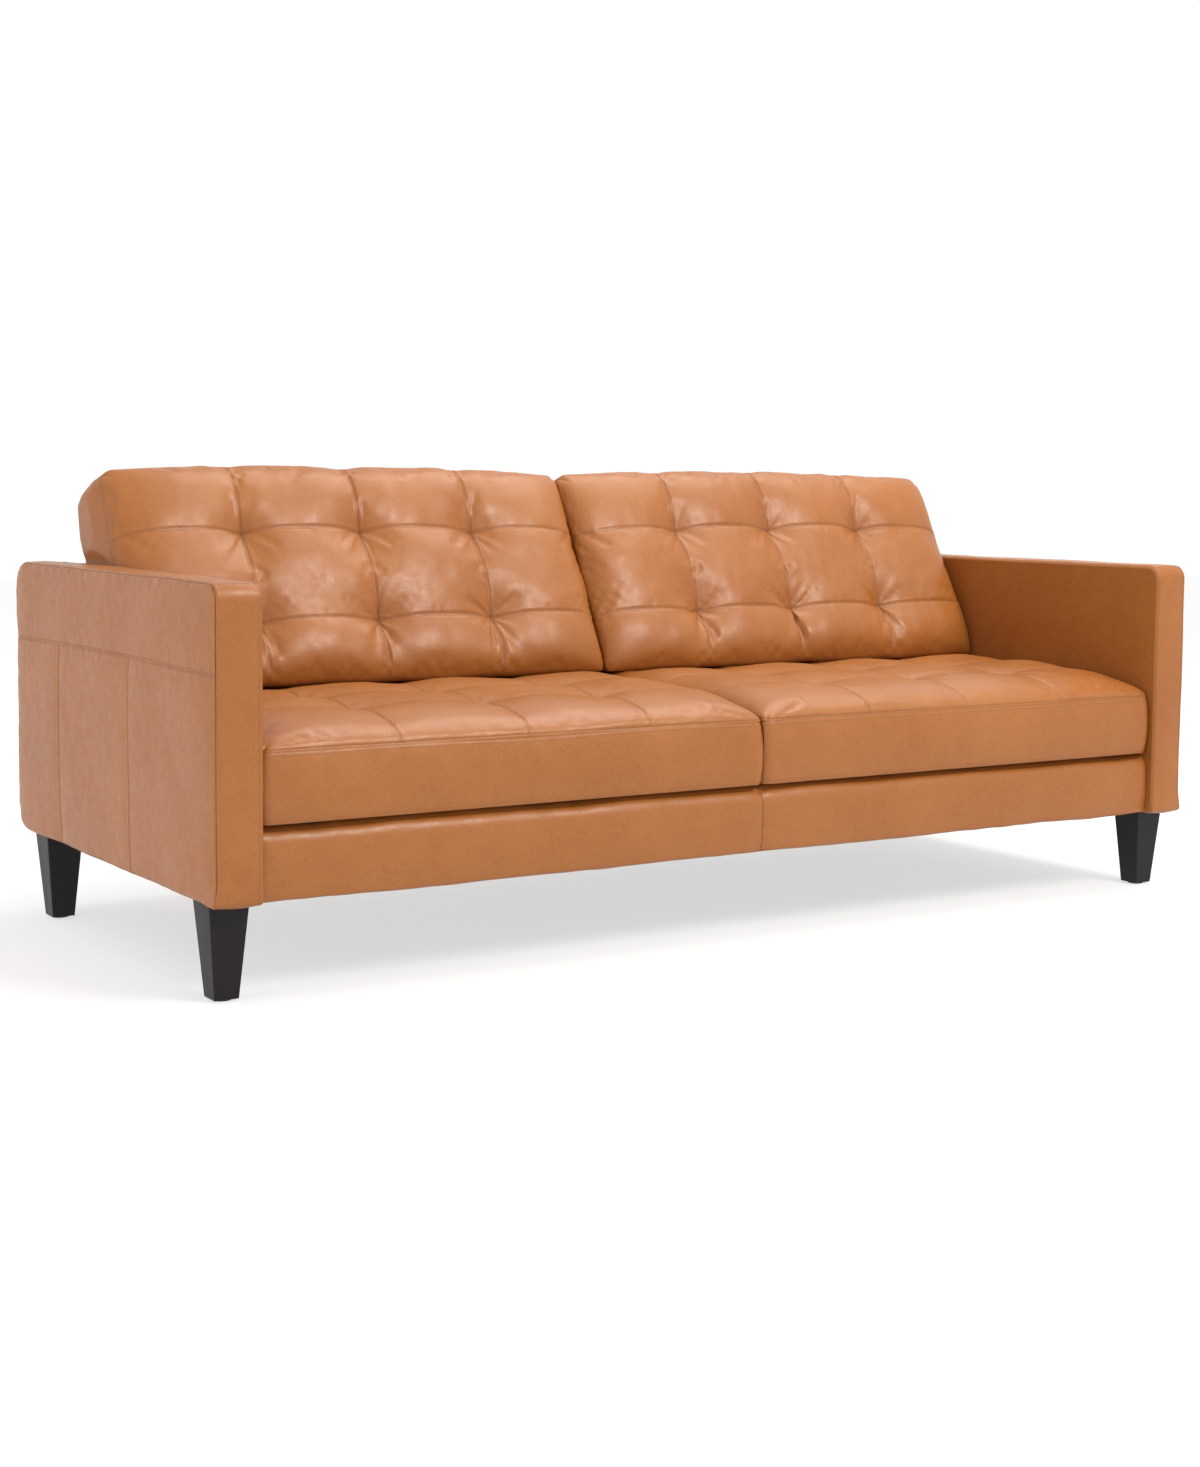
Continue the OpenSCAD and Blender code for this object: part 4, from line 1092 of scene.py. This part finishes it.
# The floor paper's glow of its own and the two greys that its fibres mix, and half its width.
FLOOR_GLOW = 0.62
FLOOR_GREYS = ((0.33, 0.33, 0.33, 1), (0.35, 0.35, 0.35, 1))
FLOOR_REACH = 14.0
WARM = (1, 0.95, 0.87)


def area_light(name, place, target, size, power, colour):
    """A soft square light that faces a target."""
    light = bpy.data.lights.new(name, "AREA")
    light.shape, light.size, light.energy, light.color = "SQUARE", size, power, colour
    lamp = bpy.data.objects.new(name, light)
    lamp.location = place
    lamp.rotation_euler = (Vector(target) - Vector(place)).to_track_quat("-Z", "Y").to_euler()
    bpy.context.scene.collection.objects.link(lamp)


def floor_material():
    """White seamless paper, lit from behind as a light table is, so that shadows on it stay pale."""
    s = Shader("Studio_floor")
    grey = s.mix(s.noise(s.coords(), 40, 2), *FLOOR_GREYS)
    paper = s.node("ShaderNodeBsdfDiffuse", None, {"Color": grey})[0]
    glow = s.node("ShaderNodeEmission", None, {"Color": (1, 1, 1, 1), "Strength": FLOOR_GLOW})[0]
    both = s.node("ShaderNodeAddShader", None, {0: paper, 1: glow})[0]
    s.node("ShaderNodeOutputMaterial", None, {"Surface": both})
    return s.material


def studio():
    """A pale floor, a white surround, three soft boxes and the camera."""
    settings = bpy.context.scene.sofa_stage
    scene = bpy.context.scene
    scene.view_settings.view_transform = "Standard"
    corners = FLOOR_REACH * np.array([[-1, -1, 0], [1, -1, 0], [1, 1, 0], [-1, 1, 0]])
    floor = make_mesh("studio_floor", corners, np.array([[0, 1, 2, 3]]))
    floor.data.materials.append(floor_material())
    world = bpy.data.worlds.new("Studio_world")
    world.use_nodes = True
    surround = world.node_tree.nodes["Background"].inputs
    surround[0].default_value, surround[1].default_value = (1, 1, 1, 1), settings.world
    scene.world = world
    area_light("key_light", (1.3, -4.0, 3.9), (0, 0, 0.45), 1.7, settings.key, WARM)
    area_light("top_light", (1.3, 0.2, 3.9), (0, 0, 0.4), 2.5, settings.top, WARM)
    area_light("side_light", (-4.2, -0.6, 0.5), (-1.1, 0, 0.4), 0.9, settings.side, (1, 0.93, 0.83))
    camera = bpy.data.cameras.new("Camera")
    camera.lens, camera.sensor_width = settings.lens, 36
    camera.shift_x, camera.shift_y = -0.0051, -0.0504
    eye = bpy.data.objects.new("Camera", camera)
    turn, dip, roll = settings.turn, settings.dip, settings.roll
    ahead = Vector((math.sin(turn) * math.cos(dip), math.cos(turn) * math.cos(dip), -math.sin(dip)))
    right = Vector((math.cos(turn), -math.sin(turn), 0))
    up = right.cross(ahead)
    across = right * math.cos(roll) + up * math.sin(roll)
    above = up * math.cos(roll) - right * math.sin(roll)
    view = Matrix((across, above, -ahead)).transposed().to_4x4()
    eye.matrix_world = Matrix.Translation(settings.eye) @ view
    scene.collection.objects.link(eye)
    scene.camera = eye


# ---------------------------------------------------------------------------- operators and panel

class SOFA_OT_studio(bpy.types.Operator):
    """Set up the pale studio and the camera"""
    bl_idname = "sofa.studio"
    bl_label = "Studio"

    def execute(self, context):
        studio()
        return {"FINISHED"}


class SOFA_OT_arms(bpy.types.Operator):
    """Cover both arms in leather"""
    bl_idname = "sofa.arms"
    bl_label = "Arms"

    def execute(self, context):
        for name in SIDES:
            arm(name)
        return {"FINISHED"}


class SOFA_OT_front_rail(bpy.types.Operator):
    """Cover the rail under the seat cushions"""
    bl_idname = "sofa.front_rail"
    bl_label = "Front rail"

    def execute(self, context):
        front_rail()
        return {"FINISHED"}


class SOFA_OT_low_back(bpy.types.Operator):
    """Cover the low back between the arms"""
    bl_idname = "sofa.low_back"
    bl_label = "Low back"

    def execute(self, context):
        low_back()
        return {"FINISHED"}


class SOFA_OT_seat_cushions(bpy.types.Operator):
    """Make the two seat cushions"""
    bl_idname = "sofa.seat_cushions"
    bl_label = "Seat cushions"

    def execute(self, context):
        for name in SIDES:
            seat_cushion(name)
        return {"FINISHED"}


class SOFA_OT_back_cushions(bpy.types.Operator):
    """Make the two back cushions"""
    bl_idname = "sofa.back_cushions"
    bl_label = "Back cushions"

    def execute(self, context):
        for name in SIDES:
            back_cushion(name)
        return {"FINISHED"}


class SOFA_OT_legs(bpy.types.Operator):
    """Make the four tapered legs"""
    bl_idname = "sofa.legs"
    bl_label = "Legs"

    def execute(self, context):
        for name in LEGS:
            leg(name)
        return {"FINISHED"}


class SOFA_OT_frame_finish(bpy.types.Operator):
    """Give every part of the frame its material"""
    bl_idname = "sofa.frame_finish"
    bl_label = "Frame finish"

    def execute(self, context):
        slots = {part["node"]: part["material_slot"] for part in frame["record"]["subparts"]}
        for name, node in frame["nodes"].items():
            node.data.materials.clear()
            node.data.materials.append(material(slots[name]))
        return {"FINISHED"}


STEPS = (SOFA_OT_studio, SOFA_OT_arms, SOFA_OT_front_rail, SOFA_OT_low_back, SOFA_OT_seat_cushions,
         SOFA_OT_back_cushions, SOFA_OT_legs, SOFA_OT_frame_finish)


class SOFA_PT_steps(bpy.types.Panel):
    """Lists the sofa's settings and steps."""
    bl_idname = "SOFA_PT_steps"
    bl_label = "Sofa"
    bl_space_type = "VIEW_3D"
    bl_region_type = "UI"
    bl_category = "Sofa"

    def draw(self, context):
        for group in (context.scene.sofa_leather, context.scene.sofa_cushions, context.scene.sofa_stage):
            box = self.layout.box()
            for key in group.__annotations__:
                box.prop(group, key)
        for step in STEPS:
            self.layout.operator(step.bl_idname)


GROUPS = {"sofa_leather": LeatherSettings, "sofa_cushions": CushionSettings, "sofa_stage": StageSettings}


def register():
    """Registers the settings, the steps and the panel."""
    for key, group in GROUPS.items():
        bpy.utils.register_class(group)
        setattr(bpy.types.Scene, key, PointerProperty(type=group))
    for step in (*STEPS, SOFA_PT_steps):
        bpy.utils.register_class(step)


def unregister():
    """Takes them away again, in the opposite order."""
    for step in (SOFA_PT_steps, *reversed(STEPS)):
        bpy.utils.unregister_class(step)
    for key, group in reversed(GROUPS.items()):
        delattr(bpy.types.Scene, key)
        bpy.utils.unregister_class(group)


def main():
    register()
    for step in STEPS:
        getattr(bpy.ops.sofa, step.bl_idname.split(".")[1])()


if __name__ == "__main__":
    main()
